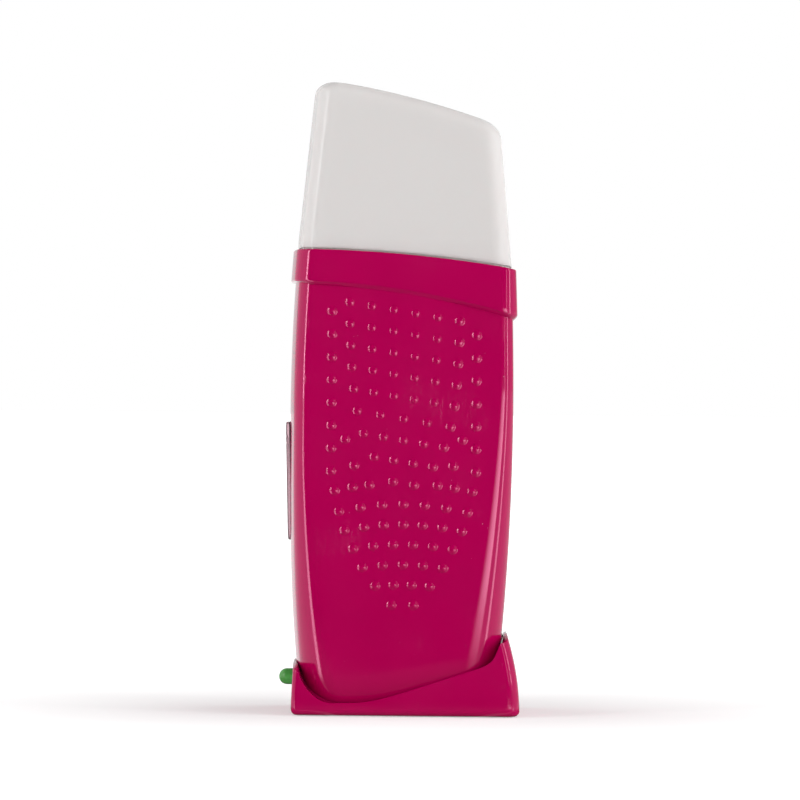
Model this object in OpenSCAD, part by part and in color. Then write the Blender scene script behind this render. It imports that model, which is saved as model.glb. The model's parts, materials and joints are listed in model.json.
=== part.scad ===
// Roll-on wax heater standing in its dock.
// Frame: the wide grip face looks along -Y, the window and pilot lamp are at
// the front (-X), the mains inlet is at the rear (+X), and Z is up.
// The origin is on the table, under the middle of the dock.
// Sections across the body are rounded rectangles. Point i of a section runs
// from the middle of the front (i = 0) round the near side to the middle of
// the rear (i = NH); the far side mirrors it.

/* [Handpiece] */
// Air between the sleeve and the front wall
front_air = 2.95; // [2.5:0.05:4]
// Air between the sleeve and the rear wall
rear_air = 3; // [2.5:0.05:4]
// Space between the sleeve and the side walls, for the heater and its leads
side_air = 3.8; // [3.8:0.1:6]
// Height of the fullest section
bulge_z = 93; // [85:1:100]
// Height of the body's lower edge in the dock
body_foot = 3.5; // [3.5:0.1:5]
// Wall of the two body shells
shell_wall = 2.2; // [1.6:0.1:2.6]
// Crown of the front face
front_crown = 1.4; // [0.5:0.1:2]
// Crown of the rear face
rear_crown = 0.3; // [0.1:0.1:1]
// Vertical corner radius at the front, upper part
corner_front = 5.5; // [4:0.1:6.5]
// How much the front corner radius grows toward the foot
corner_front_grow = 6.5; // [2:0.1:7]
// Vertical corner radius at the rear, upper part
corner_rear = 4.1; // [3.8:0.1:5]
// How much the rear corner radius grows toward the foot
corner_rear_grow = 8.3; // [4:0.1:9]
// How much the rear corner radius shrinks toward the collar
corner_rear_shrink = 0.8; // [0:0.1:1]
// Inward sweep of the sides at the foot
foot_sweep = 3; // [2:0.5:6]
// Inward sweep of the front and rear at the foot
foot_sweep_ends = 2; // [1:0.5:4]

/* [Collar] */
// Collar's upper edge over the axis
collar_top = 140.95; // [138:0.05:145]
// Collar's lower edge over the axis
collar_low = 129.9; // [127:0.1:133]
// How far the collar stands out from the body
collar_proud = 1.4; // [1.3:0.05:2.5]
// Upper face of the inner flange over the axis
flange_z = 134; // [133:0.1:136]
// Thickness of the inner flange
flange_t = 2; // [1.5:0.1:3]
// Slant of the flange, lid edge and chamber mouth in degrees
mouth_slant = 5.1; // [3:0.1:6]
// Rounding of the collar's upper and lower edges
collar_edge = 0.6; // [0.3:0.1:0.7]

/* [Lid] */
// Top of the lid over the axis
lid_top = 189.55; // [185:0.05:200]
// Wall of the lid
lid_wall = 1.6; // [1.2:0.1:2.4]
// Rounding of the lid's top edge
lid_round = 4; // [3:0.1:5]
// Draft of the lid's front wall, millimetres per millimetre
lid_draft_front = 0.103; // [0.05:0.001:0.12]
// Draft of the lid's rear wall
lid_draft_rear = 0.09; // [0.05:0.001:0.12]
// Draft of the lid's side walls
lid_draft_side = 0.08; // [0.04:0.001:0.1]
// Vertical corner radius of the lid
lid_corner = 5.5; // [5.3:0.1:7]

/* [Grip] */
// Radius of a grip dome
dome_r = 1.6; // [1:0.1:1.8]
// Height of a grip dome
dome_h = 0.55; // [0.3:0.05:0.8]
// Share of the tongue's rise that its domes follow
dome_follow = 0.64; // [0.4:0.02:1]
// Rise of the soft tongue under the inner domes
tongue_h = 0.5; // [0.2:0.1:0.5]
// Half width of the tongue at the collar
tongue_half = 19.3; // [17:0.1:20]
// Height of the tongue's tip
tongue_tip = 68; // [62:1:72]
// Distance between inner rows
row_pitch = 6.54; // [6:0.02:6.7]
// Distance between the domes of an outer column
column_pitch = 6.95; // [6.5:0.05:7]
// Distance between the lower arcs
arc_pitch = 6.15; // [5.8:0.05:6.3]

/* [Window] */
// Height of the window's middle
window_z = 71.2; // [65:0.1:78]
// Length of the window
window_len = 36.7; // [28:0.1:42]
// Width of the window
window_w = 11; // [9:0.1:13]
// Thickness of the window's flange
window_t = 1.1; // [0.9:0.05:1.4]
// Lean of the window against the body's axis, in degrees
window_lean = 1.5; // [0.5:0.1:1.8]
// Width of the seat around the window's plug
window_seat = 1.6; // [1.2:0.1:2]
// Thickness of the window gasket
gasket_t = 0.45; // [0.35:0.05:0.6]
// Depth of the window's recess at its middle
window_recess = 0.6; // [0.55:0.05:0.8]

/* [Cartridge chamber] */
// Inner width of the sleeve
chamber_w = 55.5; // [53:0.1:56]
// Inner depth of the sleeve
chamber_d = 35; // [33:0.1:36]
// Inner corner radius of the sleeve
chamber_r = 6; // [4:0.5:10]
// Height of the chamber floor
chamber_floor_z = 40; // [39:0.5:48]
// Wall of the aluminium sleeve
sleeve_wall = 1.5; // [1:0.1:1.6]
// Centre of the chamber along X
chamber_x = -0.7; // [-1:0.1:-0.4]
// Thickness of the chamber floor plate
floor_t = 2.5; // [2:0.1:3.5]
// Thickness of the mouth gasket
mouth_t = 1; // [0.6:0.1:1.5]

/* [Heater] */
// Width of the heater plate
heater_w = 40; // [30:1:42]
// Length of the heater plate
heater_len = 50; // [40:1:55]
// Thickness of the heater plate
heater_t = 2.4; // [1.8:0.1:2.5]
// Lower edge of the heater plate
heater_z = 56; // [55:1:62]
// Thickness of the insulation pad
pad_t = 0.8; // [0.5:0.1:0.9]
// Radius of the thermal fuse
fuse_r = 1.5; // [1.2:0.1:1.6]
// Length of the thermal fuse
fuse_len = 9; // [8:0.5:10]
// Radius of an insulated lead
lead_r = 0.8; // [0.6:0.1:0.9]

/* [Contacts] */
// Radius of a contact pin
pin_r = 2; // [1.5:0.1:2.2]
// Reach of a contact pin below its carrier
pin_reach = 15; // [13:0.5:15.5]
// Distance between the contact pins
pin_pitch = 14; // [13:0.5:15]
// Wall of a socket contact
contact_wall = 0.8; // [0.6:0.1:0.9]
// Thickness of the contact carrier
carrier_t = 2.5; // [2:0.1:3]
// Lower face of the contact carrier
carrier_z = 25.5; // [25.5:0.1:27]
// Shank radius of the carrier screws
screw_r = 1.4; // [1.2:0.1:1.5]

/* [Dock] */
// How far the dock's front foot stands in from the body's bulge
dock_in_front = 0.75; // [0.5:0.05:1]
// How far the dock's rear foot stands out from the body's bulge
dock_out_rear = 2.7; // [1.5:0.1:4]
// How far the dock's sides stand out from the body's bulge
dock_out_side = 1.7; // [1.6:0.1:3]
// Vertical corner radius of the dock at the front
dock_corner_front = 1.8; // [1.5:0.1:4]
// Vertical corner radius of the dock at the rear
dock_corner_rear = 4; // [2.5:0.1:5]
// Crown of the dock's front face
dock_crown = 0.4; // [0.2:0.1:1]
// Height of the dock's floor
dock_floor = 3.4; // [3:0.1:3.4]
// Rim height at the middle of the front
rim_front = 15.8; // [14.5:0.1:16]
// Rim height at the middle of the rear
rim_rear = 25; // [24:0.1:26]
// Lowest rim height, on the sides
rim_dip = 3.95; // [3.9:0.05:4.5]
// Where the side rim is lowest
dip_x = -20.5; // [-24:0.5:-16]
// Rise of the side rim toward the rear, millimetres per millimetre
rim_slope = 0.33; // [0.2:0.01:0.34]
// Extra rise of the side rim at its rear end
rim_flick = 4; // [0:0.5:4]
// Length over which the side rim runs up into the front arch
rim_blend_front = 2.5; // [2:0.5:5]
// Length over which the side rim runs up into the rear arch
rim_blend_rear = 4; // [2:0.5:6]
// Rounding of the rim's edges
rim_round = 0.35; // [0.2:0.05:0.5]
// Rounding of the dock's lower edge
dock_round = 1.7; // [1:0.1:2]
// Height of the contact tower
tower_top = 22; // [20:0.5:22.5]
// Wall of the tower and its ducts
tower_wall = 1.8; // [1.4:0.1:2.4]
// Thickness of the bottom plate
plate_t = 1.4; // [1.2:0.1:1.4]
// How far the feet stand below the dock
foot_drop = 0.2; // [0.2:0.05:0.8]
// Radius of a foot
foot_r = 3.5; // [2.5:0.1:4]
// Distance of a foot's axis from the dock's edges
foot_in = 9; // [7:0.5:12]

/* [Pilot lamp] */
// Radius of the lamp
lamp_r = 2.5; // [1.5:0.1:2.6]
// Height of the lamp's axis
lamp_z = 10.6; // [10:0.1:11]
// How far the lamp's tip stands out of the dock
lamp_out = 4; // [2.6:0.1:5]

/* [Mains inlet] */
// Width of the inlet recess
inlet_w = 17.4; // [17:0.1:18]
// Height of the inlet recess
inlet_h = 8.8; // [8.4:0.1:9]
// Depth of the inlet recess
inlet_deep = 12; // [11:0.5:13]
// Height of the inlet's axis
inlet_z = 11.6; // [11:0.1:12]
// Radius of an inlet pin
inlet_pin_r = 1.2; // [1:0.05:1.3]
// Distance between the inlet pins
inlet_pitch = 8.6; // [8:0.1:9]
// Free length of an inlet pin
inlet_pin_len = 9; // [7:0.5:10]
// How much thicker the root of an inlet pin is, inside the wall
pin_root = 0.5; // [0.3:0.1:0.8]

/* [Fits] */
// Gap between the dock and the handpiece
dock_gap = 0.4; // [0.3:0.05:0.5]
// Gap between the collar's bore and the body shells
collar_fit = 0.3; // [0.1:0.05:0.35]
// Gap between the lid and the collar
lid_gap = 0.3; // [0.25:0.05:0.5]
// Gap between pieces that are assembled inside
fit = 0.2; // [0.1:0.05:0.3]
// Gap between a contact pin and its socket
pin_fit = 0.06; // [0.02:0.01:0.1]

/* [Hidden] */
$fn = 48;

magenta = [0.69, 0.02, 0.31];
dark_magenta = [0.6, 0.02, 0.28];
milky = [0.86, 0.84, 0.83];
smoky = [0.55, 0.55, 0.55, 0.6];
silver = [0.75, 0.76, 0.78];
brassy = [0.8, 0.63, 0.3];
charcoal = [0.15, 0.15, 0.16];
cream = [0.88, 0.85, 0.76];
lamp_green = [0.2, 0.6, 0.27];

// The body is as large as what it holds
body_front = chamber_w / 2 - chamber_x + sleeve_wall + front_air + shell_wall;
body_rear = chamber_w / 2 + chamber_x + sleeve_wall + rear_air + shell_wall;
body_half = chamber_d / 2 + sleeve_wall + side_air + shell_wall;
dock_front = body_front - dock_in_front;
dock_rear = body_rear + dock_out_rear;
dock_half = body_half + dock_out_side;

// Section points: front crown, front corner, side, rear corner, rear crown
NC = 4;
NF = 5;
NS = 12;
NR = 6;
ND = 2;
NH = NC + NF + NS + NR + ND;

function lerp(a, b, t) = a + (b - a) * t;
function clamp(v, a, b) = max(a, min(b, v));
function pos(v) = max(0, v);
// A ramp that starts softly at 0
function ramp(v, soft) = soft * ln(1 + exp(clamp(v / soft, -40, 40)));

// One point of a rounded section. e = [front, rear, half, corner_f, corner_r,
// crown_f, crown_r, half at the front, half at the rear, d inset]
function section_x(i, e) =
    let (df = atan(2 * e[5] / (e[2] - e[3])), dr = atan(2 * e[6] / (e[2] - e[4])),
         cf = -e[0] + e[5] + e[3] * cos(df), cr = e[1] - e[6] - e[4] * cos(dr))
    i <= NC ? -e[0] + e[5] * pow(i / NC, 2)
    : i <= NC + NF ? cf - e[3] * cos(lerp(df, 90, (i - NC) / NF))
    : i <= NC + NF + NS ? lerp(cf, cr, (i - NC - NF) / NS)
    : i <= NC + NF + NS + NR ? cr + e[4] * cos(lerp(90, dr, (i - NC - NF - NS) / NR))
    : e[1] - e[6] * pow((NH - i) / ND, 2);
// hf and hr are the half depths beside the front and the rear corner
function section_y(i, e, hf, hr, h) =
    let (df = atan(2 * e[5] / (e[2] - e[3])), dr = atan(2 * e[6] / (e[2] - e[4])))
    i <= NC ? -(hf - e[3] + e[3] * sin(df)) * i / NC
    : i <= NC + NF ? -(hf - e[3]) - e[3] * sin(lerp(df, 90, (i - NC) / NF))
    : i <= NC + NF + NS ? -h
    : i <= NC + NF + NS + NR
        ? -(hr - e[4]) - e[4] * sin(lerp(90, dr, (i - NC - NF - NS) / NR))
    : -(hr - e[4] + e[4] * sin(dr)) * (NH - i) / ND;

// Body silhouettes over the height
function body_f(z) = body_front - (z > bulge_z ? 0.0008 * pow(z - bulge_z, 2)
    : 0.0000054 * pow(bulge_z - z, 3));
function body_r(z) = body_rear - (z > bulge_z ? 0.0005 : 0.0006) * pow(z - bulge_z, 2);
function body_h(z) = body_half - 0.00012 * pow(z - bulge_z, 2);
function corner_f(z) = corner_front + corner_front_grow * pow(pos(80 - z) / 80, 1.3);
function corner_r(z) = corner_rear + corner_rear_grow * pow(pos(100 - z) / 100, 1.2)
    - corner_rear_shrink * clamp((z - 115) / 20, 0, 1);
// Where the sweep at the foot starts, and how far it has come
function sweep_z(x) = 12.6 + 0.24 * ramp(x + 9.6, 3);
function sweep(x, z) = let (top = sweep_z(x), t = clamp((top - z) / (top - 2), 0, 1))
    1 - sqrt(1 - t * t);
// The raised tongue on the grip face
function tongue(x, z) =
    let (t = clamp((125 - z) / (125 - tongue_tip), 0, 1),
         q = pow(pow(abs(x) / tongue_half, 2.8) + pow(t, 2.8), 1 / 2.8))
    q < 1 ? tongue_h * (1 - q * q) : 0;

// Body section at height z, inset by d; s = 1 adds the foot sweep and the tongue
function body_e(z, d, s) = let (w = foot_sweep_ends * s)
    [body_f(z) - w * sweep(-34, z) - d, body_r(z) - w * sweep(30, z) - d, body_h(z) - d,
     max(0.4, corner_f(z) - d), max(0.4, corner_r(z) - d), front_crown, rear_crown];
function body_pt(i, z, d, s = 1) =
    let (e = body_e(z, d, s), x = section_x(i, e), w = foot_sweep * s,
         hf = e[2] - w * sweep(-34, z), xr = section_x(NC + NF + NS, e),
         hr = e[2] - w * sweep(xr, z), h = e[2] - w * sweep(x, z))
    [x, section_y(i, e, hf, hr, h + (d <= 0 ? s * tongue(x, z) : 0)), z];

// A whole ring from a half section that is given as a list of points
function ring(half) = concat(half, [for (i = [NH - 1 : -1 : 1])
    [half[i][0], -half[i][1], half[i][2]]]);

// Faces of stacked loops of m points
function wall_faces(m, n, shut) = [for (k = [0 : n - (shut ? 1 : 2)], i = [0 : m - 1])
    let (a = k * m + i, b = k * m + (i + 1) % m, c = ((k + 1) % n) * m + (i + 1) % m,
         d = ((k + 1) % n) * m + i)
    each [[a, d, c], [a, c, b]]];
// Ladder of faces over a ring that is mirror-symmetric about Y = 0
function ladder(m, at, up) = let (h = m / 2) [for (i = [0 : h - 1])
    let (a = i, b = i + 1, c = (m - i - 1) % m, d = (m - i) % m,
         f = a == d ? [a, c, b] : b == c ? [a, d, b] : [a, d, c, b])
    [for (v = [0 : len(f) - 1]) at + f[up ? v : len(f) - 1 - v]]];

// Solid from rings that end in two caps
module capped(rings) {
    m = len(rings[0]);
    n = len(rings);
    polyhedron([for (r = rings, p = r) p],
        concat(ladder(m, 0, false), wall_faces(m, n, false), ladder(m, (n - 1) * m, true)));
}
// Solid from rings that close on themselves
module closed(rings) {
    polyhedron([for (r = rings, p = r) p], wall_faces(len(rings[0]), len(rings), true));
}
// Solid between an outer and an inner half section, level by level
module half_shell(outer, inner) {
    q = NH + 1;
    m = 2 * q;
    n = len(outer);
    rows = [for (k = [0 : n - 1]) concat(outer[k], [for (i = [NH : -1 : 0]) inner[k][i]])];
    ends = [for (i = [0 : NH - 1]) each [[i, i + 1, m - 2 - i], [i, m - 2 - i, m - 1 - i]]];
    polyhedron([for (r = rows, p = r) p], concat(ends, wall_faces(m, n, false),
        [for (f = ends) [for (v = [2 : -1 : 0]) (n - 1) * m + f[v]]]));
}

module slanted(z) {
    translate([0, 0, z]) rotate([0, mouth_slant, 0]) children();
}
module rounded(w, d, r) {
    for (s = [-1, 1], t = [-1, 1])
        translate([s * (w / 2 - r), t * (d / 2 - r)]) circle(r);
    square([w - 2 * r, d], center = true);
    square([w, d - 2 * r], center = true);
}
module obround(w, h) {
    for (s = [-1, 1]) translate([s * (w - h) / 2, 0]) circle(d = h);
    square([w - h, h], center = true);
}
// A run of round wire through a list of points, with a ball round each bend
module wire(points, r) {
    for (i = [0 : len(points) - 2]) {
        v = points[i + 1] - points[i];
        translate(points[i]) rotate([0, acos(v[2] / norm(v)), atan2(v[1], v[0])])
            cylinder(r = r, h = norm(v));
        if (i > 0) {
            u = points[i] - points[i - 1];
            turn = acos(u * v / (norm(u) * norm(v)));
            translate(points[i]) sphere(r * (1 / cos(turn / 2) + 0.05));
        }
    }
}
function slant_z(z, x) = z - tan(mouth_slant) * x;

// ---- handpiece ----
shell_top = flange_z - flange_t / cos(mouth_slant);
// Levels of the shells: the last six lean over to the slanted mouth
body_levels = [body_foot, 4.4, 5.6, 7.2, 9.2, 11.6, 14.4, 17.6, 21.5, 26, 31, 36.5, 42, 48, 54,
    60, 66, 72, 78, 84, 90, 96, 102, 108];
function body_level(k, x) = let (n = len(body_levels) - 1)
    k <= n ? body_levels[k] : lerp(body_levels[n], slant_z(shell_top, x), (k - n) / 5);
LEVELS = len(body_levels) + 5;
function body_half_ring(k, d) = [for (i = [0 : NH])
    let (x = body_pt(i, body_level(k, 0), d)[0], y = body_pt(i, body_level(k, x), d)[0])
    body_pt(i, body_level(k, y) - (k == LEVELS - 1 ? 0.02 : 0), d)];

// Grip domes as [x, z] on the side
inner_counts = [6, 6, 6, 6, 6, 5, 5, 4, 2];
inner_halves = [16.7, 16.6, 16.3, 15.9, 15.3, 14.2, 12.2, 8.9, 3.2];
arc_counts = [7, 7, 6, 5, 4, 2];
arc_halves = [19.6, 17.9, 15.2, 12.3, 8.3, 3.35];
inner_z = 123.5;
arc_z = 64.8;
column_z = 123.4;
function row_x(n, half, j) = lerp(-half, half, j / (n - 1));
function grip() = concat(
    [for (r = [0 : 8], j = [0 : inner_counts[r] - 1])
        let (x = row_x(inner_counts[r], inner_halves[r], j))
        [x, inner_z - r * row_pitch - 0.165 * x]],
    [for (j = [0 : 7]) [-22.2, column_z - j * column_pitch]],
    [for (j = [1 : 7]) [22, column_z - j * column_pitch]],
    [for (s = [-1, 1]) each [[s * 21, 68.8], [s * 17.9, 84.5], [s * 15.1, 76.5],
        [s * 15.6, 69.9], [s * 10.4, 70.6]]],
    [for (r = [0 : 5], j = [0 : arc_counts[r] - 1])
        let (x = row_x(arc_counts[r], arc_halves[r], j))
        [x, arc_z - r * arc_pitch - 0.0062 * x * x]]);
dome_ball = (dome_r * dome_r + dome_h * dome_h) / (2 * dome_h);
module grip_domes() {
    for (p = grip())
        translate([p[0], -body_h(p[1]) - dome_follow * tongue(p[0], p[1]), p[1]]) rotate([90, 0, 0])
            intersection() {
                translate([0, 0, dome_h - dome_ball]) sphere(dome_ball);
                translate([0, 0, -shell_wall / 2])
                    cylinder(r = dome_r * 0.97, h = shell_wall / 2 + dome_h + 1);
            }
}

window_x = -body_f(window_z);
// Frame of the window: x points out of the front face, z up
module at_window() {
    translate([window_x, 0, window_z]) rotate([0, -window_lean, 0]) mirror([1, 0, 0]) children();
}
module window_plate(w, l, from, to) {
    at_window() translate([from, 0, 0]) rotate([0, 90, 0]) linear_extrude(to - from)
        obround(l, w);
}
plug_w = window_w - 2 * window_seat;
plug_len = window_len - 2 * window_seat;
module window_slot() {
    window_plate(plug_w + 2 * fit, plug_len + 2 * fit, -shell_wall - 2, 1);
    window_plate(window_w + 2 * fit, window_len + 2 * fit, -window_recess, 3);
}

// Docking cut-outs at the foot: pilot lamp duct in front, inlet box behind
duct_half = lamp_r + 0.5 + tower_wall - 0.6;
duct_top = lamp_z + lamp_r + 1.8;
box_half = inlet_w / 2 + 1.5;
box_top = inlet_z + inlet_h / 2 + 1.5;
module foot_notches() {
    translate([-45, -duct_half - dock_gap, 0]) cube([30, 2 * (duct_half + dock_gap), duct_top + dock_gap]);
    translate([15, -box_half - dock_gap, 0]) cube([30, 2 * (box_half + dock_gap), box_top + dock_gap]);
}

carrier_top = carrier_z + carrier_t;
floor_low = chamber_floor_z - floor_t;
sleeve_half = chamber_d / 2 + sleeve_wall;
module shell() {
    difference() {
        union() {
            half_shell([for (k = [0 : LEVELS - 1]) body_half_ring(k, 0)],
                [for (k = [0 : LEVELS - 1]) body_half_ring(k, shell_wall)]);
            grip_domes();
            // ledges that carry the contact carrier
            for (x = [-17, 13]) translate([x, -body_h(carrier_z) + shell_wall / 2, carrier_z - 2])
                cube([6, shell_wall / 2 + 2.2, 2]);
            // ledges that carry the chamber floor
            for (x = [-19, 15]) translate([x, -body_h(floor_low) + shell_wall / 2, floor_low - 2])
                cube([6, shell_wall / 2 + 2.2, 2]);
            // ribs that locate the sleeve
            for (x = [-25, 22.4]) translate([x, -body_h(110) + shell_wall / 2, chamber_floor_z + 4])
                cube([1.6, body_h(110) - shell_wall / 2 - sleeve_half - fit, 80]);
        }
        window_slot();
        foot_notches();
    }
}
module shell_near() { color(magenta) shell(); }
module shell_far() { color(magenta) mirror([0, 1, 0]) shell(); }

// ---- collar ----
function collar_hi(x) = collar_top - 0.0825 * x - 0.0012 * x * x;
function collar_lo(x) = collar_low - 0.15 * x - 0.0021 * x * x;
bore_d = -collar_fit;
// Height on the collar at x, as a share of the way up, with dz on top
function collar_z(x, t, dz) = lerp(collar_lo(x), collar_hi(x), t) + dz;
function collar_pts(d, t, dz = 0, s = 0) = ring([for (i = [0 : NH])
    let (x = body_pt(i, collar_low, -collar_proud)[0]) body_pt(i, collar_z(x, t, dz), d, s)]);
module mouth_hole(gap) {
    translate([chamber_x, 0, shell_top - 20]) linear_extrude(40)
        rounded(chamber_w + 2 * gap, chamber_d + 2 * gap, chamber_r + gap);
}
module collar_ring() {
    color(magenta) {
        // the bore clears the raised tongue as far up as the shells reach
        closed([
            collar_pts(bore_d, 0, 0, 1),
            collar_pts(-collar_proud + collar_edge, 0),
            collar_pts(-collar_proud + 0.3 * collar_edge, 0, 0.3 * collar_edge),
            collar_pts(-collar_proud, 0, collar_edge),
            collar_pts(-collar_proud, 0.35),
            collar_pts(-collar_proud, 0.65),
            collar_pts(-collar_proud, 1, -collar_edge),
            collar_pts(-collar_proud + 0.3 * collar_edge, 1, -0.3 * collar_edge),
            collar_pts(-collar_proud + collar_edge, 1),
            collar_pts(bore_d, 1),
            collar_pts(bore_d, 0.55),
            collar_pts(bore_d, 0.42, 0, 1)
        ]);
        difference() {
            slanted(flange_z) translate([0, 0, -flange_t]) linear_extrude(flange_t)
                polygon([for (p = ring([for (i = [0 : NH])
                    body_pt(i, flange_z, bore_d - 0.4, 1)])) [p[0], p[1]]]);
            mouth_hole(0);
        }
    }
}

// ---- lid ----
// Where the draft starts, in front and behind
lid_kink = 145;
lid_kink_rear = 138;
lid_low = flange_z + 0.1;
lid_play = collar_fit - lid_gap;
function lid_hi(x) = lid_top - 0.235 * x - 0.0023 * x * x;
// d is the inset of the wall, r the inset of the top edge's rounding, which is
// fuller toward the front and rear than toward the sides
function lid_e(z, d, r = 0) = let (k = pos(z - lid_kink))
    [body_f(collar_hi(-body_front)) + lid_play - lid_draft_front * k - d - 1.2 * r,
     body_r(collar_hi(body_rear)) + lid_play - lid_draft_rear * pos(z - lid_kink_rear) - d - 1.15 * r,
     body_h(collar_hi(-body_front)) + lid_play - lid_draft_side * k - d - 0.85 * r,
     max(0.4, lid_corner - d - 0.5 * r), max(0.4, lid_corner - d - 0.5 * r),
     front_crown, rear_crown];
function lid_pt(i, z, d, r = 0) = let (e = lid_e(z, d, r))
    [section_x(i, e), section_y(i, e, e[2], e[2], e[2]), z];
// Rings hung from the top by dz, or raised from the lower edge
function lid_ring_hi(d, r, dz) = ring([for (i = [0 : NH])
    let (x = lid_pt(i, 180, d, r)[0]) lid_pt(i, lid_hi(x) - dz, d, r)]);
function lid_ring_lo(d, t) = ring([for (i = [0 : NH])
    let (x = lid_pt(i, lid_kink, d)[0]) lid_pt(i, lerp(slant_z(lid_low, x), lid_kink, t), d)]);
function lid_round_ring(d, r, a) = lid_ring_hi(d, r * (1 - cos(a)), d + r * (1 - sin(a)));
inner_round = lid_round - lid_wall;
module lid() {
    color(milky) capped(concat(
        [for (a = [90 : -22.5 : 0]) lid_round_ring(lid_wall, inner_round, a)],
        [for (t = [1, 0.5, 0]) lid_ring_lo(lid_wall, t)], [for (t = [0, 0.5, 1]) lid_ring_lo(0, t)],
        [for (a = [0 : 22.5 : 90]) lid_round_ring(0, lid_round, a)]));
}

// ---- window, chamber, heater ----
lens_low = gasket_t - window_recess;
module window_lens() {
    color(smoky) {
        window_plate(window_w, window_len, lens_low, lens_low + window_t - 0.4);
        window_plate(window_w - 0.8, window_len - 0.8, lens_low, lens_low + window_t);
        window_plate(plug_w, plug_len, -shell_wall, lens_low + 0.1);
    }
}
module window_gasket() {
    color(charcoal) difference() {
        window_plate(window_w, window_len, -window_recess, lens_low);
        window_plate(plug_w + fit, plug_len + fit, -window_recess - 1, gasket_t);
    }
}
module cartridge_sleeve() {
    color(silver) difference() {
        translate([chamber_x, 0, chamber_floor_z]) linear_extrude(shell_top - chamber_floor_z + 10)
            difference() {
                rounded(chamber_w + 2 * sleeve_wall, chamber_d + 2 * sleeve_wall, chamber_r + sleeve_wall);
                rounded(chamber_w, chamber_d, chamber_r);
            }
        slanted(shell_top) translate([-60, -60, -mouth_t]) cube([120, 120, 40]);
        // slot behind the window
        translate([-60, 0, window_z]) rotate([0, 90, 0]) linear_extrude(60 + chamber_x - chamber_w / 4)
            obround(plug_len - 2, plug_w - 2);
    }
}
module mouth_gasket() {
    color(charcoal) difference() {
        intersection() {
            slanted(shell_top) translate([-60, -60, -mouth_t]) cube([120, 120, mouth_t]);
            mouth_hole(sleeve_wall + 0.8);
        }
        mouth_hole(0.2);
    }
}
post_x = body_rear - 11.75;
post_r = 3.2;
lead_y = sleeve_half + 1.65;
lead_ax = -8;
lead_bx = 12;
module inner_outline(z, gap) {
    polygon([for (p = ring([for (i = [0 : NH]) body_pt(i, z, shell_wall + gap)])) [p[0], p[1]]]);
}
module chamber_floor() {
    color(cream) difference() {
        union() {
            translate([0, 0, floor_low]) linear_extrude(floor_t) inner_outline(floor_low, fit);
            for (s = [-1, 1]) translate([s * post_x, 0, carrier_top])
                cylinder(r = post_r, h = floor_low - carrier_top + 0.5);
        }
        for (s = [-1, 1]) translate([s * post_x, 0, carrier_top - 1]) cylinder(r = screw_r, h = 8);
        for (x = [lead_ax, lead_bx]) translate([x, lead_y, floor_low - 1])
            cylinder(r = lead_r + 0.6, h = floor_t + 2);
    }
}
module heater_plate() {
    color(silver) translate([chamber_x - heater_w / 2, sleeve_half, heater_z])
        cube([heater_w, heater_t, heater_len]);
}
module insulation_pad() {
    color(cream) translate([chamber_x - heater_w / 2 - 1, sleeve_half + heater_t, heater_z])
        cube([heater_w + 2, pad_t, heater_len + 1]);
}
fuse_z = heater_z - fuse_len - 2.5;
module thermal_fuse() {
    color(cream) translate([lead_bx, lead_y, fuse_z]) cylinder(r = fuse_r, h = fuse_len);
}
module contact_carrier() {
    color(charcoal) difference() {
        translate([0, 0, carrier_z]) linear_extrude(carrier_t) inner_outline(carrier_z, fit);
        for (s = [-1, 1]) {
            translate([s * post_x, 0, carrier_z - 1]) cylinder(r = screw_r + 0.3, h = carrier_t + 2);
            translate([contact_x, s * pin_pitch / 2, carrier_z - 1]) cylinder(r = pin_r - 0.5, h = carrier_t + 2);
        }
    }
}
contact_x = -1;
module contact_pin(s) {
    color(brassy) translate([contact_x, s * pin_pitch / 2, 0]) {
        translate([0, 0, carrier_z - pin_reach + pin_r]) cylinder(r = pin_r, h = pin_reach - pin_r);
        translate([0, 0, carrier_z - pin_reach + pin_r]) sphere(pin_r);
        translate([0, 0, carrier_z - 0.5]) cylinder(r = pin_r - 0.55, h = carrier_t + 1.7);
        translate([0, 0, carrier_top]) cylinder(r = pin_r + 0.6, h = 1);
    }
}
module contact_pin_near() { contact_pin(-1); }
module contact_pin_far() { contact_pin(1); }
module carrier_screw(s) {
    color(silver) difference() {
        translate([s * post_x, 0, 0]) {
            translate([0, 0, carrier_z - 1.6]) cylinder(r = screw_r * 1.9, h = 1.6);
            translate([0, 0, carrier_z - 0.5]) cylinder(r = screw_r - 0.05, h = carrier_t + 7);
        }
        translate([s * post_x, 0, carrier_z - 1.7]) for (a = [0, 90]) rotate(a)
            translate([-1.5, -0.35, 0]) cube([3, 0.7, 1]);
    }
}
module carrier_screw_front() { carrier_screw(-1); }
module carrier_screw_rear() { carrier_screw(1); }
lead_z = carrier_top + 2.8;
module heater_lead_a() {
    color("white") wire([[contact_x, pin_pitch / 2, carrier_top + 1.2], [contact_x, pin_pitch / 2, lead_z],
        [lead_ax, lead_y, lead_z + 4.5], [lead_ax, lead_y, heater_z]], lead_r);
}
module heater_lead_b() {
    color("white") wire([[contact_x, -pin_pitch / 2, carrier_top + 1.2], [contact_x, -pin_pitch / 2, lead_z],
        [lead_bx, -pin_pitch / 2 + 3, lead_z + 2], [lead_bx, lead_y, lead_z + 4.5],
        [lead_bx, lead_y, fuse_z]], lead_r);
}
module fuse_lead() {
    color("white") wire([[lead_bx, lead_y, fuse_z + fuse_len], [lead_bx, lead_y, heater_z]], lead_r);
}

// ---- dock ----
function dock_e(z, d) = [dock_front - 0.004 * z * z - d, dock_rear - 0.0064 * z * z - d,
    dock_half - 0.003 * z * z - d, max(0.6, dock_corner_front - d), max(0.6, dock_corner_rear - d),
    dock_crown, rear_crown];
function dock_pt(i, z, d) = let (e = dock_e(z, d))
    [section_x(i, e), section_y(i, e, e[2], e[2], e[2]), z];
function pocket_pt(i, z) = body_pt(i, z, -dock_gap);
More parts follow.
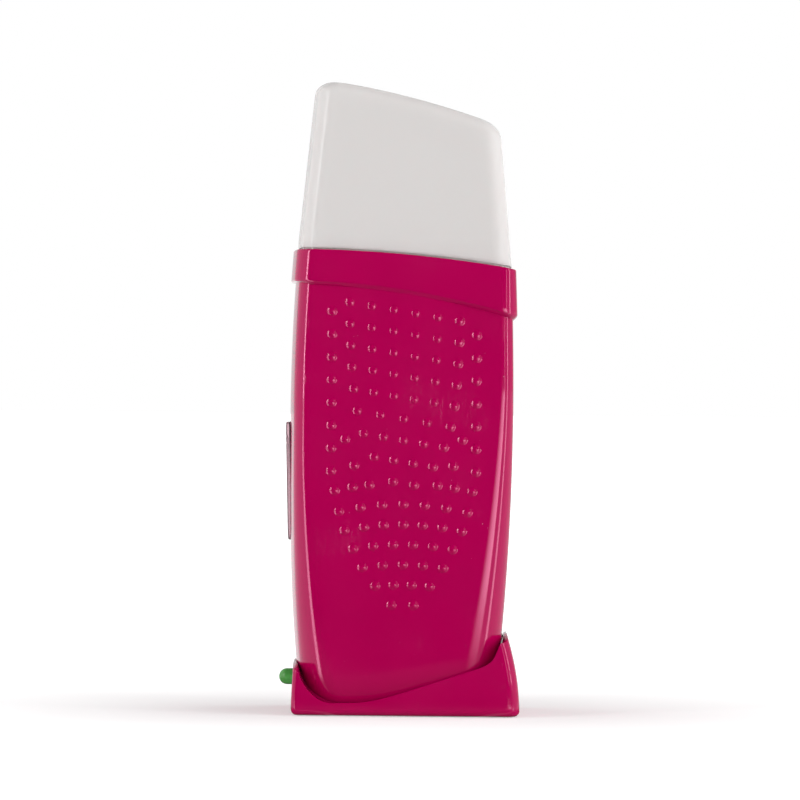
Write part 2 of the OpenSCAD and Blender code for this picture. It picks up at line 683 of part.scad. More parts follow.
// Rim height over the side, then an arch across the front and the rear
rim_x0 = dock_crown + dock_corner_front - dock_front;
rim_x1 = dock_rear - dock_corner_rear;
function rim_side(x) = rim_dip + rim_slope * ramp(x + 9.6, 3) * (x > dip_x ? 1 : 0)
    + rim_flick * pow(pos(x - 22) / 10, 3) + 9.6 * pow(pos(dip_x - x) / (dip_x - rim_x0), 2.4);
function arch(y) = sqrt(pos(1 - pow(y / dock_half, 2)));
function ease(t) = let (c = clamp(t, 0, 1)) c * c * (3 - 2 * c);
function rim_at(x, y) =
    let (side = rim_side(clamp(x, rim_x0, rim_x1)), high = x < 0 ? rim_front : rim_rear,
         share = ease(1 + (x < 0 ? (rim_x0 - x) / rim_blend_front : (x - rim_x1) / rim_blend_rear)))
    side + pos(high - side) * arch(y) * share;
// Rim height at point i, outside and at the pocket
function rim_out(i) = let (p = dock_pt(i, 12, 0)) rim_at(p[0], p[1]);
function rim_in(i) = let (p = pocket_pt(i, rim_out(i))) rim_at(p[0], p[1]);
foot_z = foot_drop;
side_from = foot_z + dock_round;
function dock_outer(t) = ring([for (i = [0 : NH])
    dock_pt(i, lerp(side_from, rim_out(i) - rim_round, t), 0)]);
function dock_inner(t) = ring([for (i = [0 : NH])
    pocket_pt(i, lerp(dock_floor, rim_in(i) - min(rim_round, (rim_in(i) - dock_floor) * 0.7), t))]);
// Top of the rim: w is the share of the way in, dz the share of the rounding
function dock_lip(w, dz) = ring([for (i = [0 : NH])
    let (a = dock_pt(i, rim_out(i), 0), b = pocket_pt(i, rim_in(i)), x = lerp(a[0], b[0], w),
         y = lerp(a[1], b[1], w), z = rim_at(x, y))
    [x, y, z - dz * min(rim_round, (z - dock_floor) * 0.7)]]);
tower_x0 = -17;
tower_x1 = 15;
tower_half = 12;
inlet_x = dock_rear - 0.0064 * inlet_z * inlet_z;
socket_r = pin_r + pin_fit + contact_wall;
holder_r = socket_r + 1.2;
socket_top = tower_top - tower_wall;
socket_low = carrier_z - pin_reach - 1.5;
dock_post_x = [-11.5, 9.5];
plate_low = foot_drop + 0.1;
recess_top = plate_low + plate_t + 0.1;
module dock_housing() {
    color(magenta) difference() {
        union() {
            capped([
                ring([for (i = [0 : NH]) dock_pt(i, foot_z, dock_round)]),
                ring([for (i = [0 : NH]) dock_pt(i, foot_z + 0.3 * dock_round, 0.29 * dock_round)]),
                dock_outer(0), dock_outer(0.4), dock_outer(0.75), dock_outer(1),
                dock_lip(0.04, 0.4), dock_lip(0.14, 0), dock_lip(0.38, 0), dock_lip(0.62, 0),
                dock_lip(0.86, 0), dock_lip(0.96, 0.4),
                dock_inner(1), dock_inner(0.6), dock_inner(0.25), dock_inner(0)
            ]);
            // tower, lamp duct and inlet box stand on the floor
            translate([tower_x0, -tower_half, dock_floor - 0.5])
                cube([tower_x1 - tower_x0, 2 * tower_half, tower_top - dock_floor + 0.5]);
            translate([-dock_front + 2.8, -duct_half, dock_floor - 0.5])
                cube([dock_front - 2.8 + tower_x0 + 1, 2 * duct_half, duct_top - dock_floor + 0.5]);
            translate([tower_x1 - 1, -box_half, dock_floor - 0.5])
                cube([inlet_x - 2.5 - tower_x1 + 1, 2 * box_half, box_top - dock_floor + 0.5]);
        }
        // recess for the bottom plate
        translate([0, 0, -1]) linear_extrude(recess_top + 1)
            polygon([for (p = ring([for (i = [0 : NH]) dock_pt(i, foot_z, dock_round + 0.6)])) [p[0], p[1]]]);
        // inside of the tower, around the socket holders and screw posts
        difference() {
            translate([tower_x0 + tower_wall, -tower_half + tower_wall, recess_top - 0.5])
                cube([tower_x1 - tower_x0 - 2 * tower_wall, 2 * (tower_half - tower_wall),
                    tower_top - tower_wall - recess_top + 0.5]);
            for (s = [-1, 1]) translate([contact_x, s * pin_pitch / 2, socket_low + 0.8])
                cylinder(r = holder_r, h = 30);
            for (x = dock_post_x) translate([x, 0, recess_top]) cylinder(r = 2.9, h = 30);
        }
        // inside of the lamp duct
        translate([-dock_front + 4.6, -lamp_r - 0.6, recess_top - 0.5])
            cube([dock_front - 4.6 + tower_x0 + tower_wall + 0.5, 2 * lamp_r + 1.2, duct_top - 1.2 - recess_top + 0.5]);
        translate([-45, 0, lamp_z]) rotate([0, 90, 0]) cylinder(r = lamp_r + 0.05, h = 20);
        // inlet recess, and the way from its floor to the tower
        translate([inlet_x - inlet_deep, 0, inlet_z]) rotate([90, 0, 90]) linear_extrude(30)
            obround(inlet_w, inlet_h);
        translate([tower_x1 - tower_wall - 0.5, -box_half + 1.5, recess_top - 0.5])
            cube([inlet_x - inlet_deep - 1.6 - tower_x1 + tower_wall + 0.5, 2 * box_half - 3, box_top - 1.5 - recess_top + 0.5]);
        for (s = [-1, 1]) {
            translate([0, s * inlet_pitch / 2, inlet_z]) rotate([0, 90, 0])
                cylinder(r = inlet_pin_r + pin_root, h = inlet_x - inlet_deep + 1);
            translate([contact_x, s * pin_pitch / 2, socket_low]) cylinder(r = socket_r + 0.05, h = socket_top - socket_low);
            translate([contact_x, s * pin_pitch / 2, socket_top - 1]) cylinder(r = pin_r + 0.4, h = 10);
        }
        for (x = dock_post_x) translate([x, 0, -1]) cylinder(r = screw_r, h = 12);
    }
}
module dock_plate() {
    color(dark_magenta) difference() {
        translate([0, 0, plate_low]) linear_extrude(plate_t)
            polygon([for (p = ring([for (i = [0 : NH]) dock_pt(i, foot_z, dock_round + 0.6 + fit)])) [p[0], p[1]]]);
        for (x = foot_x, t = [-1, 1]) translate([x, t * foot_y, -1])
            cylinder(r = foot_r + 0.1, h = 1 + foot_drop + 0.6);
        for (x = dock_post_x) translate([x, 0, -1]) {
            cylinder(r = screw_r + 0.2, h = 5);
            cylinder(r = screw_r * 1.9 + 0.2, h = 1 + plate_low + 0.7);
        }
    }
}
foot_x = [foot_in - dock_front, dock_rear - foot_in];
foot_y = dock_half - foot_in;
module foot(x, y) {
    color(charcoal) translate([x, y, 0]) cylinder(r = foot_r, h = foot_drop + 0.6);
}
module foot_front_near() { foot(foot_x[0], -foot_y); }
module foot_front_far() { foot(foot_x[0], foot_y); }
module foot_rear_near() { foot(foot_x[1], -foot_y); }
module foot_rear_far() { foot(foot_x[1], foot_y); }
module dock_screw(x) {
    color(silver) difference() {
        translate([x, 0, 0]) {
            translate([0, 0, plate_low]) cylinder(r = screw_r * 1.9, h = 0.7);
            translate([0, 0, plate_low + 0.2]) cylinder(r = screw_r - 0.05, h = 9);
        }
        translate([x, 0, plate_low - 0.5]) for (a = [0, 90]) rotate(a)
            translate([-1.5, -0.35, 0]) cube([3, 0.7, 0.9]);
    }
}
module dock_screw_front() { dock_screw(dock_post_x[0]); }
module dock_screw_rear() { dock_screw(dock_post_x[1]); }

lamp_face = -(dock_front - 0.004 * lamp_z * lamp_z);
lamp_seat = -dock_front + 4.7;
lamp_tip = lamp_face - lamp_out + lamp_r;
board_x = lamp_seat + 4.5;
module pilot_lamp() {
    color(lamp_green) {
        translate([lamp_tip, 0, lamp_z]) rotate([0, 90, 0]) {
            cylinder(r = lamp_r, h = lamp_seat - lamp_tip + 0.5);
            sphere(lamp_r);
        }
        translate([lamp_seat, 0, lamp_z]) rotate([0, 90, 0]) cylinder(r = lamp_r + 0.4, h = 1);
        for (s = [-1, 1]) translate([lamp_seat + 0.5, s * 1.27, lamp_z]) rotate([0, 90, 0])
            cylinder(r = 0.3, h = board_x - lamp_seat - 0.5);
    }
}
module lamp_board() {
    color("darkgreen") translate([board_x, -lamp_r - 0.4, recess_top + 0.1])
        cube([1.2, 2 * lamp_r + 0.8, duct_top - 1.4 - recess_top - 0.1]);
}
module lamp_resistor() {
    color(cream) {
        translate([board_x + 2.4, 0, lamp_z - 1]) rotate([0, 90, 0]) cylinder(r = 0.95, h = 4);
        translate([board_x + 1.2, 0, lamp_z - 1]) rotate([0, 90, 0]) cylinder(r = 0.3, h = 7);
    }
}
module socket_contact(s) {
    color(brassy) translate([contact_x, s * pin_pitch / 2, socket_low]) difference() {
        cylinder(r = socket_r, h = socket_top - 1 - socket_low);
        translate([0, 0, 0.8]) cylinder(r = pin_r + pin_fit, h = 30);
    }
}
module socket_near() { socket_contact(-1); }
module socket_far() { socket_contact(1); }
pin_back = inlet_x - inlet_deep - 4;
module inlet_pin(s) {
    color(brassy) translate([pin_back, s * inlet_pitch / 2, inlet_z]) rotate([0, 90, 0]) {
        cylinder(r = inlet_pin_r + pin_root, h = 4);
        cylinder(r = inlet_pin_r, h = 4 + inlet_pin_len - inlet_pin_r);
        translate([0, 0, 4 + inlet_pin_len - inlet_pin_r]) sphere(inlet_pin_r);
    }
}
module inlet_pin_near() { inlet_pin(-1); }
module inlet_pin_far() { inlet_pin(1); }
module dock_lead(s) {
    color("white") wire([[pin_back, s * inlet_pitch / 2, inlet_z], [pin_back - 2, s * inlet_pitch / 2, inlet_z],
        [pin_back - 6, s * pin_pitch / 2, socket_low - 2], [contact_x, s * pin_pitch / 2, socket_low - 2],
        [contact_x, s * pin_pitch / 2, socket_low]], lead_r);
}
module dock_lead_near() { dock_lead(-1); }
module dock_lead_far() { dock_lead(1); }

dock_housing();
dock_plate();
foot_front_near();
foot_front_far();
foot_rear_near();
foot_rear_far();
dock_screw_front();
dock_screw_rear();
pilot_lamp();
lamp_board();
lamp_resistor();
socket_near();
socket_far();
inlet_pin_near();
inlet_pin_far();
dock_lead_near();
dock_lead_far();
shell_near();
shell_far();
collar_ring();
window_lens();
window_gasket();
cartridge_sleeve();
mouth_gasket();
chamber_floor();
heater_plate();
insulation_pad();
thermal_fuse();
contact_carrier();
contact_pin_near();
contact_pin_far();
carrier_screw_front();
carrier_screw_rear();
heater_lead_a();
heater_lead_b();
fuse_lead();
lid();
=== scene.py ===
"""Roll-on wax heater in its plug-in dock, dressed round the CAD frame.

Sizes are millimetres, as in the part's source, until mesh() turns them into metres.
The front with the window and lamp is at -X, the mains inlet at +X, the near grip face at -Y.
"""
import json
import math
import bmesh
import bpy
import numpy as np
from mathutils import Matrix, Vector


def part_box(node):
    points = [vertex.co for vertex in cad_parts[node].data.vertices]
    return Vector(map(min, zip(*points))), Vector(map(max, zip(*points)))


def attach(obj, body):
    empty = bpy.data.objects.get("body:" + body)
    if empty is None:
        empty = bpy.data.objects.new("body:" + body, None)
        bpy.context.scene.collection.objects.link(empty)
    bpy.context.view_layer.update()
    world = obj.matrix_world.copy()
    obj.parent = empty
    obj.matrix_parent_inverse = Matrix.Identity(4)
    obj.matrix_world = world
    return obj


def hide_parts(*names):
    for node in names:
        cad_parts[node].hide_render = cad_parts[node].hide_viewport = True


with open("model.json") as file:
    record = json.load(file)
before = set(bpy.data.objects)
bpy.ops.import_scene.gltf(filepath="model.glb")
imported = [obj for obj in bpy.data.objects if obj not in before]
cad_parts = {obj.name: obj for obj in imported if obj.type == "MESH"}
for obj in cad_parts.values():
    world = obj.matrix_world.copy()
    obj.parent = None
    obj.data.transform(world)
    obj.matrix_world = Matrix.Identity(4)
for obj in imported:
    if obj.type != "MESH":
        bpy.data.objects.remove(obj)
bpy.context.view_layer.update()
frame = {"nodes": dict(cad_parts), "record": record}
MM = 0.001
QUARTER = math.pi / 2

# ---- camera ----
PICTURE = 800       # pixels across
PIXEL = 0.31        # millimetres a pixel at the object's middle
SENSOR = 36
DISTANCE = 1500
CAMERA_X = -1.24
CAMERA_Z = 96.5
ROLL = math.radians(0.55)


def make_camera():
    cam = bpy.data.objects.new("camera", bpy.data.cameras.new("camera"))
    bpy.context.collection.objects.link(cam)
    cam.data.sensor_width = SENSOR
    cam.data.lens = SENSOR * DISTANCE / (PICTURE * PIXEL)
    cam.data.clip_end = 50
    place = Matrix.Translation(Vector((CAMERA_X, -DISTANCE, CAMERA_Z)) * MM)
    cam.matrix_world = place @ Matrix.Rotation(QUARTER, 4, "X") @ Matrix.Rotation(ROLL, 4, "Z")
    bpy.context.scene.camera = cam


# ---- node graphs ----
class Graph:
    """A short way to write a node tree."""

    def __init__(self, tree):
        self.tree = tree
        tree.nodes.clear()

    def add(self, kind, inputs=None, **settings):
        node = self.tree.nodes.new(kind)
        for key, value in settings.items():
            setattr(node, key, value)
        for key, value in (inputs or {}).items():
            self.put(node.inputs[key], value)
        return node

    def put(self, socket, value):
        if isinstance(value, bpy.types.NodeSocket):
            self.tree.links.new(value, socket)
        elif (isinstance(value, (tuple, list)) and len(value) == 3
              and len(socket.default_value) == 4):
            socket.default_value = (*value, 1)
        else:
            socket.default_value = value

    def math(self, operation, a, b=0.0):
        return self.add("ShaderNodeMath", {0: a, 1: b}, operation=operation).outputs[0]

    def noise(self, scale, detail=2.0, stretch=None):
        vector = self.add("ShaderNodeTexCoord").outputs["Object"]
        if stretch:
            vector = self.add("ShaderNodeMapping", {"Vector": vector, "Scale": stretch}).outputs[0]
        inputs = {"Vector": vector, "Scale": scale, "Detail": detail, "Roughness": 0.5}
        return self.add("ShaderNodeTexNoise", inputs).outputs[0]

    def span(self, value, low, high, to_low, to_high):
        """Value stretched from low..high to to_low..to_high, and held at the ends."""
        inputs = {"Value": value, "From Min": low, "From Max": high,
                  "To Min": to_low, "To Max": to_high}
        return self.add("ShaderNodeMapRange", inputs).outputs[0]

    def azimuth(self, x, y, side):
        """Angle from the camera's side round to the left (side -1) or right, in degrees."""
        turn = self.math("ARCTAN2", self.math("MULTIPLY", x, side), self.math("MULTIPLY", y, -1))
        return self.math("DEGREES", turn)

    def levels(self, angle, stops):
        """Brightness by azimuth: (degrees, level up to 10) stops, straight between them."""
        curve = self.add("ShaderNodeValToRGB", {0: self.math("DIVIDE", angle, 180)})
        ramp = curve.color_ramp
        while len(ramp.elements) < len(stops):
            ramp.elements.new(1)
        for element, (degrees, level) in zip(ramp.elements, stops):
            element.position = degrees / 180
            element.color = (level / 10, level / 10, level / 10, 1)
        return self.math("MULTIPLY", curve.outputs[0], 10)

    def grey(self, level):
        return self.add("ShaderNodeCombineColor", {0: level, 1: level, 2: level}).outputs[0]

    def blend(self, factor, a, b):
        node = self.add("ShaderNodeMix", data_type="RGBA")
        self.put(node.inputs[0], factor)
        self.put(node.inputs[6], a)
        self.put(node.inputs[7], b)
        return node.outputs[2]


def surface(name, color, rough=0.4, shade=0.9, tone_scale=60, rough_span=0.06, rough_scale=90,
            bump=0.0, bump_scale=900, specks=None, scratches=0.0, stretch=None, **settings):
    """Principled material whose tone, roughness and relief vary over the piece.

    shade is the darkest tone's share of color; the settings are inputs of the shader.
    """
    made = bpy.data.materials.new(name)
    made.use_nodes = True
    g = Graph(made.node_tree)
    tone = g.span(g.noise(tone_scale, 3, stretch=stretch), 0.3, 0.7, 0, 1)
    base = g.blend(tone, tuple(c * shade for c in color), color)
    polish = g.span(g.noise(rough_scale, 4, stretch=stretch), 0.3, 0.7,
                    rough - rough_span, rough + rough_span)
    if specks:
        dots = g.span(g.noise(specks["scale"], 1), specks["from"], specks["from"] + 0.02, 0, 1)
        few = g.span(g.noise(specks["scale"] / 9, 1), 0.52, 0.62, 0, 1)
        base = g.blend(g.math("MULTIPLY", dots, few), base, specks["color"])
    shader = g.add("ShaderNodeBsdfPrincipled",
                   {"Base Color": base, "Roughness": polish, **settings})
    relief = None
    if bump:
        relief = g.add("ShaderNodeBump", {"Height": g.noise(bump_scale, 2, stretch=stretch),
                                          "Strength": bump, "Distance": 0.0002}).outputs[0]
    if scratches:
        lines = g.noise(60, 1, stretch=(16, 16, 0.7))
        thin = g.span(g.math("ABSOLUTE", g.math("SUBTRACT", lines, 0.5)), 0, 0.006, 1, 0)
        patch = g.span(g.noise(35, 2), 0.56, 0.66, 0, 1)
        height = g.math("MULTIPLY", thin, patch)
        marks = {"Height": height, "Strength": scratches, "Distance": 0.00003}
        if relief:
            marks["Normal"] = relief
        relief = g.add("ShaderNodeBump", marks, invert=True).outputs[0]
    if relief:
        g.put(shader.inputs["Normal"], relief)
    out = g.add("ShaderNodeOutputMaterial")
    g.put(out.inputs[0], shader.outputs[0])
    return made


MAGENTA = (0.43, 0.0, 0.078)
SPECK = {"scale": 1500, "from": 0.8, "color": (0.75, 0.35, 0.45)}
MATERIALS = {
    "magenta_gloss": surface(
        "magenta_gloss", MAGENTA, 0.08, 0.95, 40, 0.03, 70, bump=0.03, bump_scale=260,
        specks=SPECK, scratches=0.5, **{"IOR": 1.7, "Specular Tint": (1.0, 0.5, 0.7)}),
    "magenta_matte": surface(
        "magenta_matte", (0.36, 0.001, 0.066), 0.5, 0.9, 90, bump=0.5, bump_scale=2200),
    "lid_milky": surface(
        "lid_milky", (0.72, 0.675, 0.665), 0.22, 0.98, 30, 0.03, 60, bump=0.06, bump_scale=500,
        **{"Subsurface Weight": 0.5, "Subsurface Radius": (0.006, 0.005, 0.005),
           "Subsurface Scale": 1.0, "IOR": 1.45}),
    "window_clear": surface(
        "window_clear", (0.85, 0.56, 0.63), 0.08, 0.95, 50, 0.02, 90,
        **{"Transmission Weight": 0.85, "IOR": 1.49}),
    "lamp_green": surface(
        "lamp_green", (0.14, 0.62, 0.13), 0.12, 0.9, 200, 0.03, 300,
        **{"Transmission Weight": 0.45, "IOR": 1.5}),
    "foot_rubber": surface(
        "foot_rubber", (0.03, 0.03, 0.032), 0.75, 0.7, 300, bump=0.6, bump_scale=2500),
    "gasket_dark": surface(
        "gasket_dark", (0.04, 0.04, 0.045), 0.6, 0.7, 300, bump=0.3, bump_scale=2500),
    "screw_steel": surface(
        "screw_steel", (0.58, 0.58, 0.6), 0.3, 0.8, 400, 0.08, 900, bump=0.2,
        stretch=(1, 1, 0.1), **{"Metallic": 1.0}),
    "contact_brass": surface(
        "contact_brass", (0.72, 0.53, 0.22), 0.24, 0.85, 300, 0.06, 600, bump=0.1,
        **{"Metallic": 1.0}),
    "sleeve_aluminium": surface(
        "sleeve_aluminium", (0.68, 0.69, 0.71), 0.36, 0.88, 40, 0.08, 120, bump=0.2,
        bump_scale=500, stretch=(6, 6, 0.25), **{"Metallic": 1.0}),
    "ceramic_cream": surface(
        "ceramic_cream", (0.74, 0.7, 0.58), 0.6, 0.9, 200, bump=0.3, bump_scale=1500),
    "pad_felt": surface(
        "pad_felt", (0.76, 0.73, 0.66), 0.9, 0.75, 500, bump=1.0, bump_scale=1800,
        stretch=(1, 1, 3)),
    "carrier_dark": surface(
        "carrier_dark", (0.03, 0.03, 0.033), 0.5, 0.8, 200, bump=0.3, bump_scale=1800),
    "lead_white": surface(
        "lead_white", (0.78, 0.78, 0.77), 0.45, 0.9, 200, bump=0.2, bump_scale=1200),
    "board_green": surface(
        "board_green", (0.03, 0.2, 0.08), 0.35, 0.85, 300, bump=0.2, bump_scale=1600),
}
SLOTS = {part["node"]: part["material_slot"] for part in frame["record"]["subparts"]}


# ---- meshes ----
def mesh(name, points, faces, slot, smooth=35):
    """Object from points in millimetres."""
    data = bpy.data.meshes.new(name)
    data.from_pydata([tuple(p) for p in np.asarray(points, float) * MM], [], faces)
    data.validate()
    piece = bpy.data.objects.new(name, data)
    bpy.context.collection.objects.link(piece)
    data.materials.append(MATERIALS[slot])
    soften(data, smooth)
    return piece


def soften(data, angle=35):
    data.shade_smooth()
    data.set_sharp_from_angle(angle=math.radians(angle))


def outward(piece):
    work = bmesh.new()
    work.from_mesh(piece.data)
    bmesh.ops.recalc_face_normals(work, faces=work.faces)
    work.to_mesh(piece.data)
    work.free()
    return piece


def grid(rows, columns, wrap_rows=False, wrap_columns=False, at=0):
    """Quads of a grid of points that is stored row by row."""
    faces = []
    for r in range(rows if wrap_rows else rows - 1):
        for c in range(columns if wrap_columns else columns - 1):
            a, b = r * columns, (r + 1) % rows * columns
            d = (c + 1) % columns
            faces.append((at + a + c, at + a + d, at + b + d, at + b + c))
    return faces


def ladder(columns, at, flip):
    """Strips that close a ring that is the mirror image of itself about Y = 0."""
    half = columns // 2
    faces = []
    for i in range(half):
        loop = [i, i + 1, (columns - i - 1) % columns, (columns - i) % columns]
        loop = [at + v for v in dict.fromkeys(loop)]
        faces.append(tuple(reversed(loop)) if flip else tuple(loop))
    return faces


def loft(name, rings, slot, caps=True, smooth=35):
    """Solid from rings (rows, points, 3): closed by caps, or onto itself without."""
    rings = np.array(rings)
    rows, columns = rings.shape[:2]
    faces = grid(rows, columns, wrap_rows=not caps, wrap_columns=True)
    if caps:
        faces += ladder(columns, 0, True) + ladder(columns, (rows - 1) * columns, False)
    return outward(mesh(name, rings.reshape(-1, 3), faces, slot, smooth))


def join(piece, *others):
    """Adds the others' faces to piece and deletes them."""
    work = bmesh.new()
    work.from_mesh(piece.data)
    for other in others:
        work.from_mesh(other.data)
    work.to_mesh(piece.data)
    work.free()
    for other in others:
        bpy.data.objects.remove(other)
    return piece


def carve(piece, tools, operation="DIFFERENCE", smooth=35):
    """Applies booleans in turn and deletes the tools."""
    for tool in tools:
        modifier = piece.modifiers.new("carve", "BOOLEAN")
        modifier.operation = operation
        modifier.solver = "EXACT"
        modifier.object = tool
    graph = bpy.context.evaluated_depsgraph_get()
    graph.update()
    made = bpy.data.meshes.new_from_object(piece.evaluated_get(graph), depsgraph=graph)
    piece.modifiers.clear()
    piece.data = made
    for tool in tools:
        bpy.data.objects.remove(tool)
    soften(made, smooth)
    return piece


def block(low, high, bevel=0.0):
    """Box from corner to corner, with rounded edges if bevel is set."""
    work = bmesh.new()
    bmesh.ops.create_cube(work, size=1)
    low, high = np.array(low, float), np.array(high, float)
    for v in work.verts:
        v.co = [(low[k] + high[k]) / 2 + v.co[k] * (high[k] - low[k]) for k in range(3)]
    if bevel:
        bmesh.ops.bevel(work, geom=work.edges[:], offset=bevel, segments=3, profile=0.5,
                        affect="EDGES")
    bmesh.ops.scale(work, vec=(MM, MM, MM), verts=work.verts)
    data = bpy.data.meshes.new("block")
    work.to_mesh(data)
    work.free()
    data.materials.append(MATERIALS["magenta_gloss"])
    piece = bpy.data.objects.new("block", data)
    bpy.context.collection.objects.link(piece)
    soften(data)
    return piece


def turned(name, profile, axis, at, slot, steps=48, smooth=35):
    """Solid turned from (along, radius) points about an axis through at."""
    along = Vector(axis).normalized()
    side = along.orthogonal().normalized()
    up = along.cross(side)
    points = []
    for t, r in profile:
        for k in range(steps):
            a = 2 * math.pi * k / steps
            points.append(Vector(at) + along * t + side * r * math.cos(a) + up * r * math.sin(a))
    faces = grid(len(profile), steps, wrap_columns=True)
    faces.append(tuple(range(steps)))
    faces.append(tuple((len(profile) - 1) * steps + k for k in range(steps)))
    return outward(mesh(name, points, faces, slot, smooth))


# ---- sections, as in the part's source ----
def spans(counts):
    """Kind of stretch and share of it for each point: crown, corner, side, corner, crown."""
    kinds, shares = [0], [0.0]
    for kind, count in enumerate(counts):
        kinds += [kind] * count
        shares += [(j + 1) / count for j in range(count)]
    return np.array(kinds), np.array(shares)


POINTS = (9, 14, 100, 14, 5)    # points on each stretch
KIND, SHARE = spans(POINTS)


def section_x(e):
    """e = front, rear, half depth, corner radii, crowns, each a number or a column of rows."""
    front, rear, half, corner_f, corner_r, crown_f, crown_r = e
    tilt_f = np.arctan(2 * crown_f / (half - corner_f))
    tilt_r = np.arctan(2 * crown_r / (half - corner_r))
    start = -front + crown_f + corner_f * np.cos(tilt_f)
    end = rear - crown_r - corner_r * np.cos(tilt_r)
    return np.select(
        [KIND == 0, KIND == 1, KIND == 2, KIND == 3],
        [-front + crown_f * SHARE ** 2,
         start - corner_f * np.cos(tilt_f + (QUARTER - tilt_f) * SHARE),
         start + (end - start) * SHARE,
         end + corner_r * np.cos(QUARTER + (tilt_r - QUARTER) * SHARE)],
        rear - crown_r * (1 - SHARE) ** 2)


def section_y(e, half_f, half_r, side):
    """Near half of the section: half depths beside the front and rear corners, and on the side."""
    half, corner_f, corner_r, crown_f, crown_r = e[2:]
    tilt_f = np.arctan(2 * crown_f / (half - corner_f))
    tilt_r = np.arctan(2 * crown_r / (half - corner_r))
    flat_f, flat_r = half_f - corner_f, half_r - corner_r
    return -np.select(
        [KIND == 0, KIND == 1, KIND == 2, KIND == 3],
        [(flat_f + corner_f * np.sin(tilt_f)) * SHARE,
         flat_f + corner_f * np.sin(tilt_f + (QUARTER - tilt_f) * SHARE),
         side + 0 * SHARE,
         flat_r + corner_r * np.sin(QUARTER + (tilt_r - QUARTER) * SHARE)],
        (flat_r + corner_r * np.sin(tilt_r)) * (1 - SHARE))


def whole(near):
    """Rings (rows, points, 3) from near halves."""
    far = near[:, -2:0:-1] * (1, -1, 1)
    return np.concatenate([near, far], axis=1)


def stack(x, y, z):
    return np.stack(np.broadcast_arrays(x, y, z), axis=-1)


def column(values):
    return np.array(values, float).reshape(-1, 1)


def over(v):
    return np.maximum(0, v)


RAMP_SOFT = 3


def ramp(v):
    """0 below 0 and v above it, with a soft bend."""
    return RAMP_SOFT * np.log1p(np.exp(np.clip(v / RAMP_SOFT, -40, 40)))


def ease(v):
    v = np.clip(v, 0, 1)
    return v * v * (3 - 2 * v)


# ---- handpiece ----
BODY_FRONT, BODY_REAR, BODY_HALF, BULGE_Z = 35.1, 33.75, 25, 93
FOOT_Z, FOOT_EDGE, WALL = 3.5, 0.35, 2.2
# The foot's sweep: how far it comes in at the sides and at the ends, its top and its slope
SWEEP, SWEEP_ENDS, SWEEP_TOP, SWEEP_SLOPE, SWEEP_END = 3, 2, 12.6, 0.24, 2
SLOPE_X = -9.6          # behind this the sweep's top and the dock's rim rise to the rear
FRONT_CROWN, REAR_CROWN = 1.4, 0.3
MOUTH_SLANT = math.radians(5.1)
MOUTH_TAN = math.tan(MOUTH_SLANT)
FLANGE_Z, FLANGE_T = 134, 2
SHELL_TOP = FLANGE_Z - FLANGE_T / math.cos(MOUTH_SLANT)
STRAIGHT_TOP = 108      # above this the rows lean towards the slanted mouth
TONGUE_H, TONGUE_HALF, TONGUE_TOP, TONGUE_TIP, TONGUE_POWER = 0.5, 19.3, 125, 68, 2.8


def body_front(z):
    above, below = 0.0008 * (z - BULGE_Z) ** 2, 5.4e-6 * (BULGE_Z - z) ** 3
    return BODY_FRONT - np.where(z > BULGE_Z, above, below)


def body_rear(z):
    return BODY_REAR - np.where(z > BULGE_Z, 0.0005, 0.0006) * (z - BULGE_Z) ** 2


def body_half(z):
    return BODY_HALF - 0.00012 * (z - BULGE_Z) ** 2


def sweep(x, z):
    """How far the foot's sweep has come: 0 above it, up to 1 at its end."""
    top = SWEEP_TOP + SWEEP_SLOPE * ramp(x - SLOPE_X)
    t = np.clip((top - z) / (top - SWEEP_END), 0, 1)
    return 1 - np.sqrt(1 - t * t)


def tongue(x, z):
    """Height of the raised tongue on the grip face."""
    t = np.clip((TONGUE_TOP - z) / (TONGUE_TOP - TONGUE_TIP), 0, 1)
    q = ((np.abs(x) / TONGUE_HALF) ** TONGUE_POWER + t ** TONGUE_POWER) ** (1 / TONGUE_POWER)
    return TONGUE_H * np.where(q < 1, 1 - q * q, 0)


SWEEP_X = (-34, 30)     # where the sweep of the front and of the rear is read
MIN_CORNER = 0.4


def body_section(z, inset, swept):
    w = SWEEP_ENDS * swept
    corner_f = 5.5 + 6.5 * (over(80 - z) / 80) ** 1.3
    corner_r = 4.1 + 8.3 * (over(100 - z) / 100) ** 1.2 - 0.8 * np.clip((z - 115) / 20, 0, 1)
    return (body_front(z) - w * sweep(SWEEP_X[0], z) - inset,
            body_rear(z) - w * sweep(SWEEP_X[1], z) - inset, body_half(z) - inset,
            np.maximum(MIN_CORNER, corner_f - inset), np.maximum(MIN_CORNER, corner_r - inset),
            FRONT_CROWN, REAR_CROWN)


def body_points(z, inset=0.0, swept=1.0, raised=1.0):
    """Near half of the body at heights z (rows, 1 or points)."""
    e = body_section(z, inset, swept)
    x = section_x(e)
    w = SWEEP * swept
    half_f = e[2] - w * sweep(SWEEP_X[0], z)
    rear_x = e[1] - e[6] - e[4] * np.cos(np.arctan(2 * e[6] / (e[2] - e[4])))
    half_r = e[2] - w * sweep(rear_x, z)
    side = e[2] - w * sweep(x, z) + raised * tongue(x, z)
    return stack(x, section_y(e, half_f, half_r, side), z)


def slanted(z, x):
    return z - MOUTH_TAN * x


def body_rows():
    """Heights up the body: fine round the foot's sweep and the tongue."""
    foot = np.concatenate([[0, 0.1, 0.3, 0.6], np.linspace(1, 22, 54)]) + FOOT_Z
    return np.concatenate([foot, np.linspace(26, STRAIGHT_TOP, 92)])


